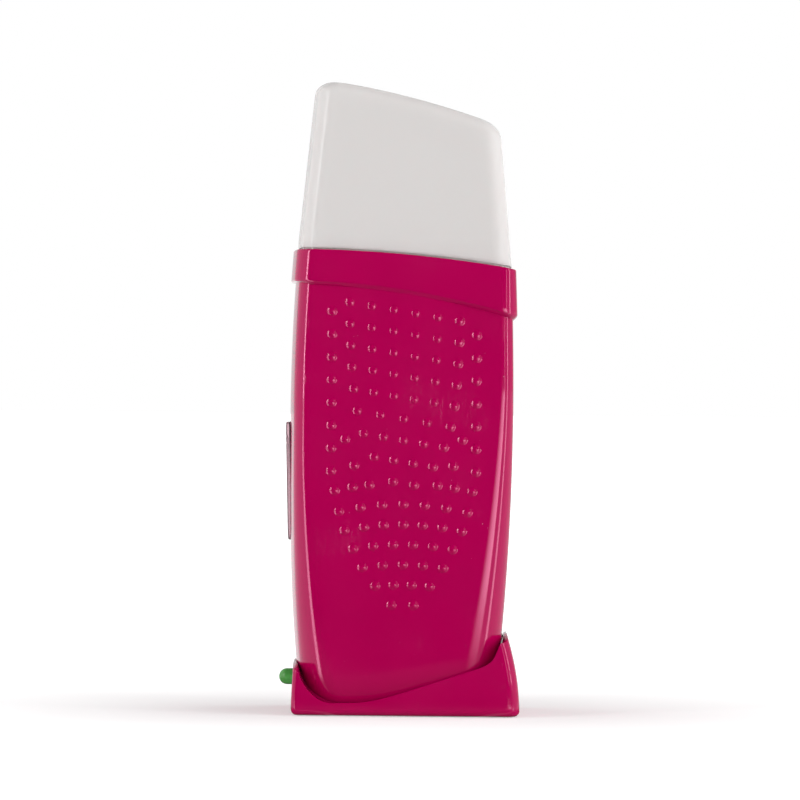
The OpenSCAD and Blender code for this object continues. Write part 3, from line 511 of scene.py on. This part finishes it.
def body_side(inset):
    """Rows of the near half from the foot to the slanted mouth."""
    straight = column(body_rows())
    edge = inset + FOOT_EDGE * (1 - np.sqrt(1 - over(1 - (straight - FOOT_Z) / 0.6) ** 2))
    low = body_points(straight, edge, raised=float(inset == 0))
    share = column(np.linspace(0, 1, 20)[1:])
    z = STRAIGHT_TOP + share * (SHELL_TOP - STRAIGHT_TOP)
    for _ in range(2):      # x depends on z, so z is worked out twice
        x = body_points(z, inset)[..., 0]
        z = STRAIGHT_TOP + share * (slanted(SHELL_TOP - 0.02, x) - STRAIGHT_TOP)
    high = body_points(z, inset, raised=float(inset == 0))
    return np.concatenate([low, high])


# Rows of grip domes: how many, and half the row's width
INNER = list(zip((6, 6, 6, 6, 6, 5, 5, 4, 2), (16.7, 16.6, 16.3, 15.9, 15.3, 14.2, 12.2, 8.9, 3.2)))
ARCS = list(zip((7, 7, 6, 5, 4, 2), (19.6, 17.9, 15.2, 12.3, 8.3, 3.35)))
# Single domes beside the rows, on both sides
LOOSE = ((21, 68.8), (17.9, 84.5), (15.1, 76.5), (15.6, 69.9), (10.4, 70.6))
COLUMN_TOP, COLUMN_STEP = 123.4, 6.95
DOME_R, DOME_H, DOME_FOLLOW, DOME_STEPS = 1.5, 0.52, 0.64, 26


def grip():
    """The domes' middles as (x, z)."""
    spots = []
    for row, (count, half) in enumerate(INNER):
        spots += [(x, 123.5 - row * 6.54 - 0.165 * x) for x in np.linspace(-half, half, count)]
    spots += [(-22.2, COLUMN_TOP - COLUMN_STEP * j) for j in range(8)]
    spots += [(22, COLUMN_TOP - COLUMN_STEP * j) for j in range(1, 8)]
    for side in (-1, 1):
        spots += [(side * x, z) for x, z in LOOSE]
    for row, (count, half) in enumerate(ARCS):
        spots += [(x, 64.8 - row * 6.15 - 0.0062 * x * x) for x in np.linspace(-half, half, count)]
    return spots


def dome_height(r):
    """A cap that runs out into the face in a small fillet."""
    ball = (DOME_R ** 2 + DOME_H ** 2) / (2 * DOME_H)
    cap = DOME_H - ball + np.sqrt(ball ** 2 - np.minimum(r, DOME_R) ** 2)
    edge, end = 0.88 * DOME_R, 1.12 * DOME_R
    t = np.clip((r - edge) / (end - edge), 0, 1)
    foot = DOME_H - ball + math.sqrt(ball ** 2 - edge ** 2)
    slope = -edge / math.sqrt(ball ** 2 - edge ** 2) * (end - edge)
    fillet = foot * (1 + 2 * t) * (1 - t) ** 2 + slope * t * (1 - t) ** 2
    return np.where(r < edge, cap, fillet)


def dome_pieces(name):
    steps = DOME_STEPS
    radii = DOME_R * np.array([0.19, 0.38, 0.56, 0.7, 0.8, 0.88, 0.94, 0.99, 1.04, 1.12, 1.16])
    turn = np.linspace(0, 2 * math.pi, steps, endpoint=False)
    lift = dome_height(radii)
    lift[-1] = -0.03
    points, faces = [], []
    for x0, z0 in grip():
        at = len(points)
        base = body_half(z0) + DOME_FOLLOW * tongue(x0, z0)
        points.append((x0, -base - DOME_H, z0))
        x = x0 + np.outer(radii, np.cos(turn))
        z = z0 + np.outer(radii, np.sin(turn))
        y = -(base + lift[:, None]) + 0 * x
        y[-2:] = -(body_half(z) + tongue(x, z) + lift[:, None])[-2:]
        points += [tuple(p) for p in stack(x, y, z).reshape(-1, 3)]
        faces += [(at, at + 1 + k, at + 1 + (k + 1) % steps) for k in range(steps)]
        faces += grid(len(radii), steps, wrap_columns=True, at=at + 1)
    return mesh(name, points, faces, "magenta_gloss", 60)


WINDOW_Z, WINDOW_LEN, WINDOW_W, WINDOW_SEAT = 71.2, 36.7, 11, 1.6
WINDOW_LEAN = math.radians(1.5)
RECESS, GASKET_T, WINDOW_T, FIT = 0.6, 0.45, 1.1, 0.2
PLUG_W, PLUG_LEN = WINDOW_W - 2 * WINDOW_SEAT, WINDOW_LEN - 2 * WINDOW_SEAT


def obround(width, length, out):
    """Outline in the window's frame, at a distance out of the front face."""
    r, steps = width / 2, 20
    turn = np.linspace(0, math.pi, steps)
    across = np.concatenate([r * np.cos(turn), -r * np.cos(turn)])
    along = np.concatenate([r * np.sin(turn), -r * np.sin(turn)])
    along += np.sign(along) * (length / 2 - r) + 0.0
    along[[0, steps - 1]] = length / 2 - r
    along[[steps, -1]] = r - length / 2
    face = -float(body_front(np.array(WINDOW_Z)))
    x = face - out * math.cos(WINDOW_LEAN) - along * math.sin(WINDOW_LEAN)
    z = WINDOW_Z - out * math.sin(WINDOW_LEAN) + along * math.cos(WINDOW_LEAN)
    return stack(x, across, z)


def window_stack(name, rows, slot, smooth=35):
    """Solid from (width, length, out) outlines, with flat ends."""
    rings = np.array([obround(*row) for row in rows])
    count, columns = rings.shape[:2]
    faces = grid(count, columns, wrap_columns=True)
    faces += [tuple(range(columns)), tuple((count - 1) * columns + k for k in range(columns))]
    return outward(mesh(name, rings.reshape(-1, 3), faces, slot, smooth))


def shell_tools():
    """Cutters for the window's seat and for the dock's duct and box."""
    plug, seat = (PLUG_W + 2 * FIT, PLUG_LEN + 2 * FIT), (WINDOW_W + 2 * FIT, WINDOW_LEN + 2 * FIT)
    duct, box = DUCT_HALF + DOCK_GAP, BOX_HALF + DOCK_GAP
    return [
        window_stack("plug_cut", [(*plug, -5), (*plug, 1)], "magenta_gloss"),
        window_stack("seat_cut", [(*seat, -RECESS), (*seat, 3)], "magenta_gloss"),
        block((-45, -duct, 0), (-15, duct, DUCT_TOP + DOCK_GAP)),
        block((15, -box, 0), (45, box, BOX_TOP + DOCK_GAP)),
    ]


JOINT_DEEP = 0.12


def make_shell(name, mirrored):
    outer, inner = body_side(0), body_side(WALL)
    # the shells' joint: a fine groove down the front and rear
    for at, into in ((0, 1), (-1, -1)):
        outer[:, at, 0] += into * JOINT_DEEP
    rows = np.concatenate([outer, inner[:, ::-1]], axis=1)
    count, columns = rows.shape[:2]
    faces = grid(count, columns, wrap_columns=True)
    for i in range(columns // 2 - 1):
        for at in (0, (count - 1) * columns):
            faces.append((at + i, at + i + 1, at + columns - 2 - i, at + columns - 1 - i))
    shell = outward(mesh(name, rows.reshape(-1, 3), faces, "magenta_gloss"))
    carve(shell, shell_tools(), smooth=38)
    join(shell, dome_pieces("domes"))
    if mirrored:
        flip(shell)
    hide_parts(name)
    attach(shell, "handpiece")


def flip(piece):
    """Mirrors the mesh about Y = 0."""
    piece.data.transform(Matrix.Scale(-1, 4, (0, 1, 0)))
    piece.data.flip_normals()


# ---- collar ----
COLLAR_PROUD, COLLAR_EDGE, COLLAR_LOW, BORE = 1.4, 0.6, 129.9, -0.3
# The slope under the collar, from the body out: inset, drop, share of the body's foot and tongue
COLLAR_SLOPE = ((0.1, 0.98, 1), (-0.1, 0.98, 1), (-0.3, 0.88, 0.7), (-0.65, 0.56, 0.3),
                (-1.0, 0.22, 0), (-1.2, 0.0, 0), (-1.33, -0.22, 0), (-1.4, -0.5, 0))


def collar_top(x):
    return 140.95 - 0.0825 * x - 0.0012 * x * x


def collar_low(x):
    return COLLAR_LOW - 0.15 * x - 0.0021 * x * x


COLLAR_X = body_points(np.array([[COLLAR_LOW]]), -COLLAR_PROUD, 1.0, 0.0)[0, :, 0]


def collar_ring(inset, share, lift=0.0, raised=0.0):
    """Ring at a share of the way from the collar's lower edge to its top."""
    z = collar_low(COLLAR_X) + share * (collar_top(COLLAR_X) - collar_low(COLLAR_X)) + lift
    return body_points(z.reshape(1, -1), inset, raised, raised)[0]


def collar_foot():
    """Rings of the slope that runs out onto the body under the collar."""
    reach = np.clip((COLLAR_X + 36) / 6, 0, 1)
    return [collar_ring(inset, 0, -drop * (reach if drop > 0 else 1), raised)
            for inset, drop, raised in COLLAR_SLOPE]


def rounded_outline(angles, width, depth, radius):
    """Points of a rounded rectangle, seen from its middle at these angles."""
    turn = np.linspace(0, QUARTER, 12)
    corner = np.stack([width / 2 - radius + radius * np.cos(turn),
                       depth / 2 - radius + radius * np.sin(turn)])
    quarter = np.concatenate([[[width / 2], [0]], corner, [[0], [depth / 2]]], axis=1)
    table = np.arctan2(quarter[1], quarter[0])
    a = np.abs(np.arctan2(np.sin(angles), np.cos(angles)))
    folded = np.minimum(a, math.pi - a)
    x = np.interp(folded, table, quarter[0])
    y = np.interp(folded, table, quarter[1])
    return x * np.sign(np.cos(angles)), y * np.sign(np.sin(angles))


CHAMBER_X, CHAMBER_W, CHAMBER_D, CHAMBER_R = -0.7, 55.5, 35, 6


def make_collar():
    bend = [QUARTER * k / 5 for k in range(6)]
    near = collar_foot()
    near += [collar_ring(-COLLAR_PROUD, t) for t in np.linspace(0.1, 0.9, 9)]
    near += [collar_ring(-COLLAR_PROUD + COLLAR_EDGE * (1 - math.cos(a)), 1,
                         -COLLAR_EDGE * (1 - math.sin(a))) for a in bend]
    near += [collar_ring(BORE + 0.12, 1), collar_ring(BORE, 1, -0.15), collar_ring(BORE, 0.55),
             collar_ring(BORE, 0.42, 0.0, 1.0)]
    collar = loft("collar_ring", whole(np.array(near)), "magenta_gloss", caps=False)
    rim = whole(body_points(np.array([[float(FLANGE_Z)]]), BORE - 0.4))[0]
    angles = np.arctan2(rim[:, 1], rim[:, 0] - CHAMBER_X)
    hole_x, hole_y = rounded_outline(angles, CHAMBER_W, CHAMBER_D, CHAMBER_R)
    hole_x = hole_x + CHAMBER_X
    rings = []
    for x, y, drop in ((rim[:, 0], rim[:, 1], 0), (hole_x, hole_y, 0),
                       (hole_x, hole_y, FLANGE_T), (rim[:, 0], rim[:, 1], FLANGE_T)):
        rings.append(stack(x, y, slanted(FLANGE_Z - drop, x)))
    join(collar, loft("flange", np.array(rings), "magenta_gloss", caps=False))
    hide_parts("collar_ring")
    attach(collar, "handpiece")


# ---- lid ----
LID_KINK, LID_KINK_REAR, LID_LOW, LID_WALL, LID_ROUND, LID_CORNER = 145, 138, 134.1, 1.6, 4, 5.5
LID_DRAFTS = (0.103, 0.09, 0.08)
LID_SLIT, SLIT_H = 0.6, 0.4


def lid_top(x):
    return 189.55 - 0.235 * x - 0.0023 * x * x


def lid_points(z, inset, rounding=0.0):
    k = over(z - LID_KINK)
    """Near half of the lid; rounding is how far a ring has turned in under the top."""
    front_z, rear_z = collar_top(-BODY_FRONT), collar_top(BODY_REAR)
    corner = np.maximum(MIN_CORNER, LID_CORNER - inset - 0.5 * rounding)
    e = (body_front(np.array(front_z)) - LID_DRAFTS[0] * k - inset - 1.2 * rounding,
         body_rear(np.array(rear_z)) - LID_DRAFTS[1] * over(z - LID_KINK_REAR)
         - inset - 1.15 * rounding,
         body_half(np.array(front_z)) - LID_DRAFTS[2] * k - inset - 0.85 * rounding,
         corner, corner, FRONT_CROWN, REAR_CROWN)
    x = section_x(e)
    return stack(x, section_y(e, e[2], e[2], e[2]), z + 0 * x)


def lid_high(inset, rounding, drop):
    """Ring that hangs below the sloping top."""
    x = lid_points(np.array([[180.0]]), inset, rounding)[0, :, 0]
    return lid_points((lid_top(x) - drop).reshape(1, -1), inset, rounding)[0]


def lid_side(inset, share):
    """Ring between the slanted lower edge and the kink."""
    x = lid_points(np.array([[float(LID_KINK)]]), inset)[0, :, 0]
    z = slanted(LID_LOW, x)
    return lid_points((z + share * (LID_KINK - z)).reshape(1, -1), inset)[0]


def lid_edge(inset, above):
    """Ring at a height above the edge of the collar."""
    x = lid_points(np.array([[float(LID_KINK)]]), inset)[0, :, 0]
    return lid_points((collar_top(x) + above).reshape(1, -1), inset)[0]


def lid_wall(inset, radius, shares):
    """Rings between the kink and the rounding under the top."""
    low, high = lid_side(inset, 1), lid_high(inset, 0, inset + radius)
    low, high = low[:, 2], high[:, 2]
    return [lid_points((low + t * (high - low)).reshape(1, -1), inset)[0] for t in shares]


def make_lid():
    inner_round = LID_ROUND - LID_WALL
    bend = np.linspace(QUARTER, 0, 11)
    near = [lid_high(LID_WALL, inner_round * (1 - math.cos(a)),
                     LID_WALL + inner_round * (1 - math.sin(a))) for a in bend]
    near += lid_wall(LID_WALL, inner_round, np.linspace(0.95, 0.05, 12))
    near += [lid_side(LID_WALL, t) for t in (1, 0.75, 0.5, 0.25, 0.04)]
    near += [lid_side(LID_WALL - 0.15, 0.01), lid_side(LID_WALL - 0.3, 0),
             lid_side(LID_SLIT + 0.3, 0)]
    # the skirt stands in from the wall, which leaves a dark slit over the collar
    near += [lid_side(LID_SLIT + 0.1, 0.01), lid_edge(LID_SLIT, -3),
             lid_edge(LID_SLIT, SLIT_H - 0.05), lid_edge(LID_SLIT - 0.1, SLIT_H),
             lid_edge(0.12, SLIT_H), lid_edge(0, SLIT_H + 0.12)]
    low = lid_edge(0, SLIT_H + 0.12)[:, 2]
    near += [lid_points((low + t * (LID_KINK - low)).reshape(1, -1), 0)[0]
             for t in (0.2, 0.4, 0.6, 0.8, 1)]
    near += lid_wall(0, LID_ROUND, np.linspace(0.03, 0.97, 24))
    near += [lid_high(0, LID_ROUND * (1 - math.cos(a)), LID_ROUND * (1 - math.sin(a)))
             for a in bend[::-1]]
    lid = loft("lid", whole(np.array(near)), "lid_milky", smooth=50)
    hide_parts("lid")
    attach(lid, "lid")


# ---- window ----
def make_window():
    low = GASKET_T - RECESS
    edge = 0.4
    rows = [(PLUG_W - 0.4, PLUG_LEN - 0.4, -WALL), (PLUG_W, PLUG_LEN, -WALL + 0.2),
            (PLUG_W, PLUG_LEN, low), (WINDOW_W - 0.2, WINDOW_LEN - 0.2, low),
            (WINDOW_W, WINDOW_LEN, low + 0.1)]
    for k in range(6):
        a = QUARTER * k / 5
        inset = edge * (1 - math.cos(a))
        rows.append((WINDOW_W - 2 * inset, WINDOW_LEN - 2 * inset,
                     low + WINDOW_T - edge + edge * math.sin(a)))
    for inset in (1.2, 2.2, 3.2, 4.2, 5.0, 5.4):
        rows.append((WINDOW_W - 2 * inset, WINDOW_LEN - 2 * inset, low + WINDOW_T))
    lens = window_stack("window_lens", rows, "window_clear", 40)
    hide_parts("window_lens")
    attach(lens, "handpiece")


# ---- dock ----
DOCK_FRONT, DOCK_REAR, DOCK_HALF = 34.35, 36.45, 26.7
DOCK_CORNERS, DOCK_CROWN = (1.8, 4), 0.4
DOCK_FLOOR, DOCK_ROUND, FOOT_DROP, DOCK_GAP = 3.4, 1.7, 0.2, 0.4
RIM_FRONT, RIM_REAR, RIM_DIP, DIP_X, RIM_SLOPE = 15.8, 25, 3.95, -20.5, 0.33
FRONT_FLICK, REAR_FLICK, REAR_FLICK_X = 9.6, 4, 22
RIM_ROUND, RIM_BLEND = 0.35, (2.5, 4)
RIM_X0 = DOCK_CROWN + DOCK_CORNERS[0] - DOCK_FRONT
RIM_X1 = DOCK_REAR - DOCK_CORNERS[1]
LAMP_R, LAMP_Z, LAMP_OUT = 2.5, 10.6, 4
INLET_W, INLET_H, INLET_DEEP, INLET_Z = 17.4, 8.8, 12, 11.6
DUCT_HALF, DUCT_TOP = LAMP_R + 0.5 + 1.8 - 0.6, LAMP_Z + LAMP_R + 1.8
BOX_HALF, BOX_TOP = INLET_W / 2 + 1.5, INLET_Z + INLET_H / 2 + 1.5
TOWER = (-17, 15, 12, 22)       # front, rear, half depth, top
CONTACT_X, PIN_PITCH, SOCKET_R, PIN_R = -1, 14, 2.86, 2
PLATE_LOW, PLATE_T = 0.3, 1.4
RECESS_TOP = PLATE_LOW + PLATE_T + 0.1
SOCKET_LOW = 25.5 - 15 - 1.5
INLET_X = DOCK_REAR - 0.0064 * INLET_Z ** 2


def dock_points(z, inset=0.0):
    corner_f, corner_r = (max(0.6, c - inset) for c in DOCK_CORNERS)
    e = (DOCK_FRONT - 0.3 - 0.0027 * z * z - inset, DOCK_REAR - 0.0064 * z * z - inset,
         DOCK_HALF - 0.003 * z * z - inset, corner_f, corner_r, DOCK_CROWN, REAR_CROWN)
    x = section_x(e)
    return stack(x, section_y(e, e[2], e[2], e[2]), z + 0 * x)


def pocket_points(z):
    return body_points(z, -DOCK_GAP, raised=0.0)


def rim_side(x):
    """Height of the rim along the side: a dip, a slope up to the rear, a flick at each end."""
    return (RIM_DIP + RIM_SLOPE * ramp(x - SLOPE_X) * (x > DIP_X)
            + REAR_FLICK * (over(x - REAR_FLICK_X) / 10) ** 3
            + FRONT_FLICK * (over(DIP_X - x) / (DIP_X - RIM_X0)) ** 2.4)


def rim_at(x, y):
    """Height of the dock's rim: a curve along the side, an arch across the front and the rear."""
    side = rim_side(np.clip(x, RIM_X0, RIM_X1))
    high = np.where(x < 0, RIM_FRONT, RIM_REAR)
    past = np.where(x < 0, (RIM_X0 - x) / RIM_BLEND[0], (x - RIM_X1) / RIM_BLEND[1])
    share = ease(past + 1)
    arch = np.sqrt(over(1 - (y / DOCK_HALF) ** 2))
    return side + over(high - side) * arch * share


def rims():
    """Rim heights at the section's points: outside, and at the pocket."""
    spot = dock_points(np.array([[12.0]]))[0]
    outside = rim_at(spot[:, 0], spot[:, 1])
    spot = pocket_points(outside.reshape(1, -1))[0]
    return outside, rim_at(spot[:, 0], spot[:, 1])


def make_dock():
    near = [dock_points(np.array([[FOOT_DROP + DOCK_ROUND * (1 - math.cos(a))]]),
                        DOCK_ROUND * (1 - math.sin(a)))[0] for a in np.linspace(0, QUARTER, 8)]
    low = FOOT_DROP + DOCK_ROUND
    rim_out, rim_in = rims()
    for t in np.linspace(0, 1, 22)[1:]:
        near.append(dock_points((low + t * (rim_out - RIM_ROUND - low)).reshape(1, -1))[0])
    outer = dock_points(rim_out.reshape(1, -1))[0]
    pocket = pocket_points(rim_in.reshape(1, -1))[0]
    reach = np.maximum(0.1, np.hypot(*(pocket - outer)[:, :2].T))
    bend = np.linspace(0, QUARTER, 6)

    def lip(w, drop):
        ring = outer + (pocket - outer) * np.reshape(w, (-1, 1))
        ring[:, 2] = rim_at(ring[:, 0], ring[:, 1])
        ring[:, 2] -= np.minimum(RIM_ROUND, (ring[:, 2] - DOCK_FLOOR) * 0.7) * drop
        return ring

    turns = [(np.minimum(0.45, RIM_ROUND * (1 - math.sin(a)) / reach), 1 - math.cos(a))
             for a in bend]
    near += [lip(w, drop) for w, drop in turns[::-1]]
    first = turns[0][0]
    near += [lip(first * (1 - t) + (1 - first) * t, 0) for t in np.linspace(0, 1, 14)[1:-1]]
    near += [lip(1 - w, drop) for w, drop in turns]
    edge = np.minimum(RIM_ROUND, (rim_in - DOCK_FLOOR) * 0.7)
    for t in np.linspace(1, 0, 18)[1:]:
        z = DOCK_FLOOR + t * (rim_in - edge - DOCK_FLOOR)
        near.append(pocket_points(z.reshape(1, -1))[0])
    dock = loft("dock_housing", whole(np.array(near)), "magenta_gloss")
    x0, x1, half, top = TOWER
    sunk = DOCK_FLOOR - 0.5
    carve(dock, [
        block((x0, -half, sunk), (x1, half, top), 0.5),
        block((-DOCK_FRONT + 2.8, -DUCT_HALF, sunk), (x0 + 1, DUCT_HALF, DUCT_TOP), 0.3),
        block((x1 - 1, -BOX_HALF, sunk), (INLET_X - 2.5, BOX_HALF, BOX_TOP), 0.3),
    ], "UNION")
    foot = whole(dock_points(np.array([[FOOT_DROP]]), DOCK_ROUND + 0.6))[0]
    recess = np.array([foot * (1, 1, 0) + (0, 0, z) for z in (-1, RECESS_TOP)])
    lamp_hole = [(0, LAMP_R + 0.1), (20, LAMP_R + 0.1)]
    tools = [loft("recess", recess, "magenta_gloss"),
             turned("lamp_hole", lamp_hole, (1, 0, 0), (-45, 0, LAMP_Z), "magenta_gloss"),
             inlet_tool()]
    socket_hole = [(SOCKET_LOW, SOCKET_R + 0.05), (top - 1.8, SOCKET_R + 0.05),
                   (top - 1.7, PIN_R + 0.4), (top - 0.4, PIN_R + 0.4),
                   (top + 0.1, PIN_R + 0.9), (top + 3, PIN_R + 0.9)]
    for side in (-1, 1):
        at = (CONTACT_X, side * PIN_PITCH / 2, 0)
        tools.append(turned("socket_hole", socket_hole, (0, 0, 1), at, "magenta_gloss", 32))
    carve(dock, tools)
    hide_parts("dock_housing")
    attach(dock, "dock")


def inlet_tool():
    """Cutter for the inlet: flat above and below, round at the ends."""
    r = INLET_H / 2
    turn = np.linspace(-QUARTER, QUARTER, 18)
    y = np.concatenate([INLET_W / 2 - r + r * np.cos(turn), -(INLET_W / 2 - r) - r * np.cos(turn)])
    z = np.concatenate([r * np.sin(turn), -r * np.sin(turn)]) + INLET_Z
    rings = [stack(x, y, z) for x in (INLET_X - INLET_DEEP, INLET_X + 10)]
    columns = len(y)
    faces = grid(2, columns, wrap_columns=True)
    faces += [tuple(range(columns)), tuple(range(columns, 2 * columns))]
    return outward(mesh("inlet_cut", np.concatenate(rings), faces, "magenta_gloss"))


def make_lamp():
    seat = -DOCK_FRONT + 4.7
    tip = -(DOCK_FRONT - 0.004 * LAMP_Z ** 2) - LAMP_OUT + LAMP_R
    profile = [(seat + 1, LAMP_R + 0.3), (seat + 0.9, LAMP_R + 0.4), (seat + 0.1, LAMP_R + 0.4),
               (seat, LAMP_R)]
    profile += [(tip - LAMP_R * math.sin(a), LAMP_R * math.cos(a))
                for a in np.linspace(0, QUARTER * 0.995, 16)]
    lamp = turned("pilot_lamp", profile, (1, 0, 0), (0, 0, LAMP_Z), "lamp_green", 48, 40)
    for side in (-1, 1):
        leg = [(seat + 0.5, 0.3), (seat + 4.5, 0.3)]
        join(lamp, turned("leg", leg, (1, 0, 0), (0, side * 1.27, LAMP_Z), "lamp_green", 12))
    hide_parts("pilot_lamp")
    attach(lamp, "dock")


def make_feet():
    for node in ("foot_front_near", "foot_front_far", "foot_rear_near", "foot_rear_far"):
        low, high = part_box(node)
        middle = (Vector(low) + Vector(high)) / 2 / MM
        r, h = (high[0] - low[0]) / 2 / MM, (high[2] - low[2]) / MM
        profile = [(0, 0.05), (0, r * 0.3), (0.12, r * 0.34), (0.12, r * 0.5), (0, r * 0.54),
                   (0, r - 0.15), (0.05, r - 0.04), (0.15, r), (h, r)]
        foot = turned(node, profile, (0, 0, 1), (middle.x, middle.y, 0), "foot_rubber")
        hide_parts(node)
        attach(foot, "dock")


def dress_nodes():
    """Finish of the CAD nodes that stay."""
    for name, node in frame["nodes"].items():
        node.data.materials.clear()
        node.data.materials.append(MATERIALS[SLOTS[name]])
        soften(node.data, 30)


# ---- light ----
def area(name, at, aim, size, level, mirrored=True):
    """Panel of light: level is its radiance, where 1 is white."""
    light = bpy.data.lights.new(name, "AREA")
    light.shape = "RECTANGLE"
    light.size, light.size_y = size
    light.energy = level * math.pi * size[0] * size[1]
    lamp = bpy.data.objects.new(name, light)
    bpy.context.collection.objects.link(lamp)
    lamp.location = at
    lamp.rotation_euler = (Vector(aim) - Vector(at)).to_track_quat("-Z", "Y").to_euler()
    lamp.visible_camera = False
    lamp.visible_glossy = mirrored


STRIP_AWAY, STRIP_MIDDLE, STRIP_HIGH = 0.7, 0.35, 0.5


def strip(name, azimuth, width, level):
    """Upright panel over the table: its azimuth is right of the camera's side, in degrees."""
    a = math.radians(azimuth)
    at = (STRIP_AWAY * math.sin(a), -STRIP_AWAY * math.cos(a), STRIP_MIDDLE)
    size = (STRIP_AWAY * math.radians(width), STRIP_HIGH)
    area(name, at, (0, 0, STRIP_MIDDLE), size, level)


def make_lights():
    strip("left_strip", -54, 6, 9)
    strip("right_strip_a", 42, 4, 3)
    strip("right_strip_b", 66, 5, 7)
    area("top_box", (0.1, -0.7, 1.4), (0, 0, 0.1), (1.2, 1.2), 0.4, False)
    area("front_box", (-0.1, -1.1, 0.2), (0, 0, 0.08), (1.0, 0.6), 1.3, False)


def make_world():
    """White behind the object, dim in front of it, soft and even for the diffuse light."""
    world = bpy.data.worlds.new("world")
    bpy.context.scene.world = world
    world.use_nodes = True
    world.cycles.sampling_method = "NONE"
    g = Graph(world.node_tree)
    path = g.add("ShaderNodeLightPath").outputs
    way = g.add("ShaderNodeTexCoord").outputs["Generated"]
    way = g.add("ShaderNodeSeparateXYZ", {0: way}).outputs
    behind = g.span(way[1], 0.3, 0.9, 0.0, 0.75)
    left = g.span(g.math("ADD", way[0], g.math("MULTIPLY", way[1], -0.35)), -0.45, -0.6, 0.0, 0.8)
    left = g.math("MULTIPLY", left, g.span(way[0], -0.5, -0.62, 0, 1))
    right = g.span(way[0], 0.7, 0.95, 0.0, 0.45)
    seen = g.math("MAXIMUM", behind, g.math("MAXIMUM", left, right))
    sides = g.math("ADD", g.span(g.math("ABSOLUTE", way[0]), 0.4, 1.0, 0.25, 2.6),
                   g.span(way[0], 0.4, 1.0, 0, 1.4))
    sides = g.math("MULTIPLY", sides, g.span(way[2], 0.2, 1.0, 1.0, 0.3))
    level = g.blend(path["Is Glossy Ray"], g.grey(sides), g.grey(seen))
    level = g.blend(path["Is Camera Ray"], level, (1, 1, 1))
    back = g.add("ShaderNodeBackground", {"Color": level, "Strength": 1.0})
    g.put(g.add("ShaderNodeOutputWorld").inputs[0], back.outputs[0])


# Painted reflections: the floor glows for glossy rays only, in bright bands where strips mirrored
# in a polished table would be, and dim in front of the object: (degrees, level) as the gloss of the
# object sees it
FLOOR_PAINTED_LEFT = ((0, 0.0), (48, 0.0), (49, 5), (57, 5), (59, 0.9), (180, 1.0))
FLOOR_PAINTED_RIGHT = ((0, 0.0), (42, 0.0), (44, 0.6), (61, 0.6), (63, 5), (68, 5), (70, 0.7), (180, 0.7))
FLOOR_PAINTED_BAND = ((0, 0.0), (11, 0.0), (24, 3.6), (38, 6), (42, 6), (44, 0.0), (180, 0.0))


FLOOR_HALF = 30
AZIMUTH_X, AZIMUTH_Y = 0.014, -0.02     # where the azimuths are measured from, left and right


def make_floor():
    """White table that the gloss sees as darker in front of the object: painted reflections, a glow
    that only glossy rays see.
    """
    data = bpy.data.meshes.new("floor")
    corners = [(x * FLOOR_HALF, y * FLOOR_HALF, 0) for x, y in ((-1, -1), (1, -1), (1, 1), (-1, 1))]
    data.from_pydata(corners, [], [(0, 1, 2, 3)])
    floor = bpy.data.objects.new("floor", data)
    bpy.context.collection.objects.link(floor)
    made = bpy.data.materials.new("floor")
    made.use_nodes = True
    g = Graph(made.node_tree)
    path = g.add("ShaderNodeLightPath").outputs
    diffuse = g.add("ShaderNodeBsdfDiffuse", {"Color": (0.8, 0.8, 0.8)})
    place = g.add("ShaderNodeNewGeometry").outputs["Position"]
    away = g.add("ShaderNodeVectorMath", {0: place}, operation="LENGTH").outputs["Value"]
    glow = g.add("ShaderNodeEmission",
                 {"Color": (1, 1, 1), "Strength": g.span(away, 0.06, 0.4, 0.3, 1.0)})
    both = g.add("ShaderNodeAddShader", {0: diffuse.outputs[0], 1: glow.outputs[0]})
    spot = g.add("ShaderNodeSeparateXYZ", {0: place}).outputs
    left, right = (g.azimuth(g.math("ADD", spot[0], -side * AZIMUTH_X),
                             g.math("ADD", spot[1], -AZIMUTH_Y), side) for side in (-1, 1))
    painted_band = g.math("MULTIPLY", g.levels(right, FLOOR_PAINTED_BAND), g.span(away, 0.12, 0.35, 0.2, 1))
    level = g.math("MAXIMUM", g.levels(left, FLOOR_PAINTED_LEFT), g.levels(right, FLOOR_PAINTED_RIGHT))
    level = g.math("MAXIMUM", level, painted_band)
    # the painted reflections fade to a faint glow close to the object
    level = g.math("MULTIPLY", level, g.span(away, 0.06, 0.1, 0.1, 1))
    level = g.math("MAXIMUM", level, g.span(away, 0.12, 0.2, 0.12, 0.0))
    # painted reflections: this glow, not a mirror, is what glossy rays see on the table
    mirrored = g.add("ShaderNodeEmission", {"Color": (1, 1, 1), "Strength": level})
    mix = g.add("ShaderNodeMixShader",
                {0: path["Is Glossy Ray"], 1: diffuse.outputs[0], 2: mirrored.outputs[0]})
    mix = g.add("ShaderNodeMixShader",
                {0: path["Is Camera Ray"], 1: mix.outputs[0], 2: both.outputs[0]})
    g.put(g.add("ShaderNodeOutputMaterial").inputs[0], mix.outputs[0])
    data.materials.append(made)


make_camera()
make_world()
make_floor()
make_lights()
dress_nodes()
make_shell("shell_near", False)
make_shell("shell_far", True)
make_collar()
make_lid()
make_window()
make_dock()
make_lamp()
make_feet()
bpy.context.scene.view_settings.view_transform = "Standard"
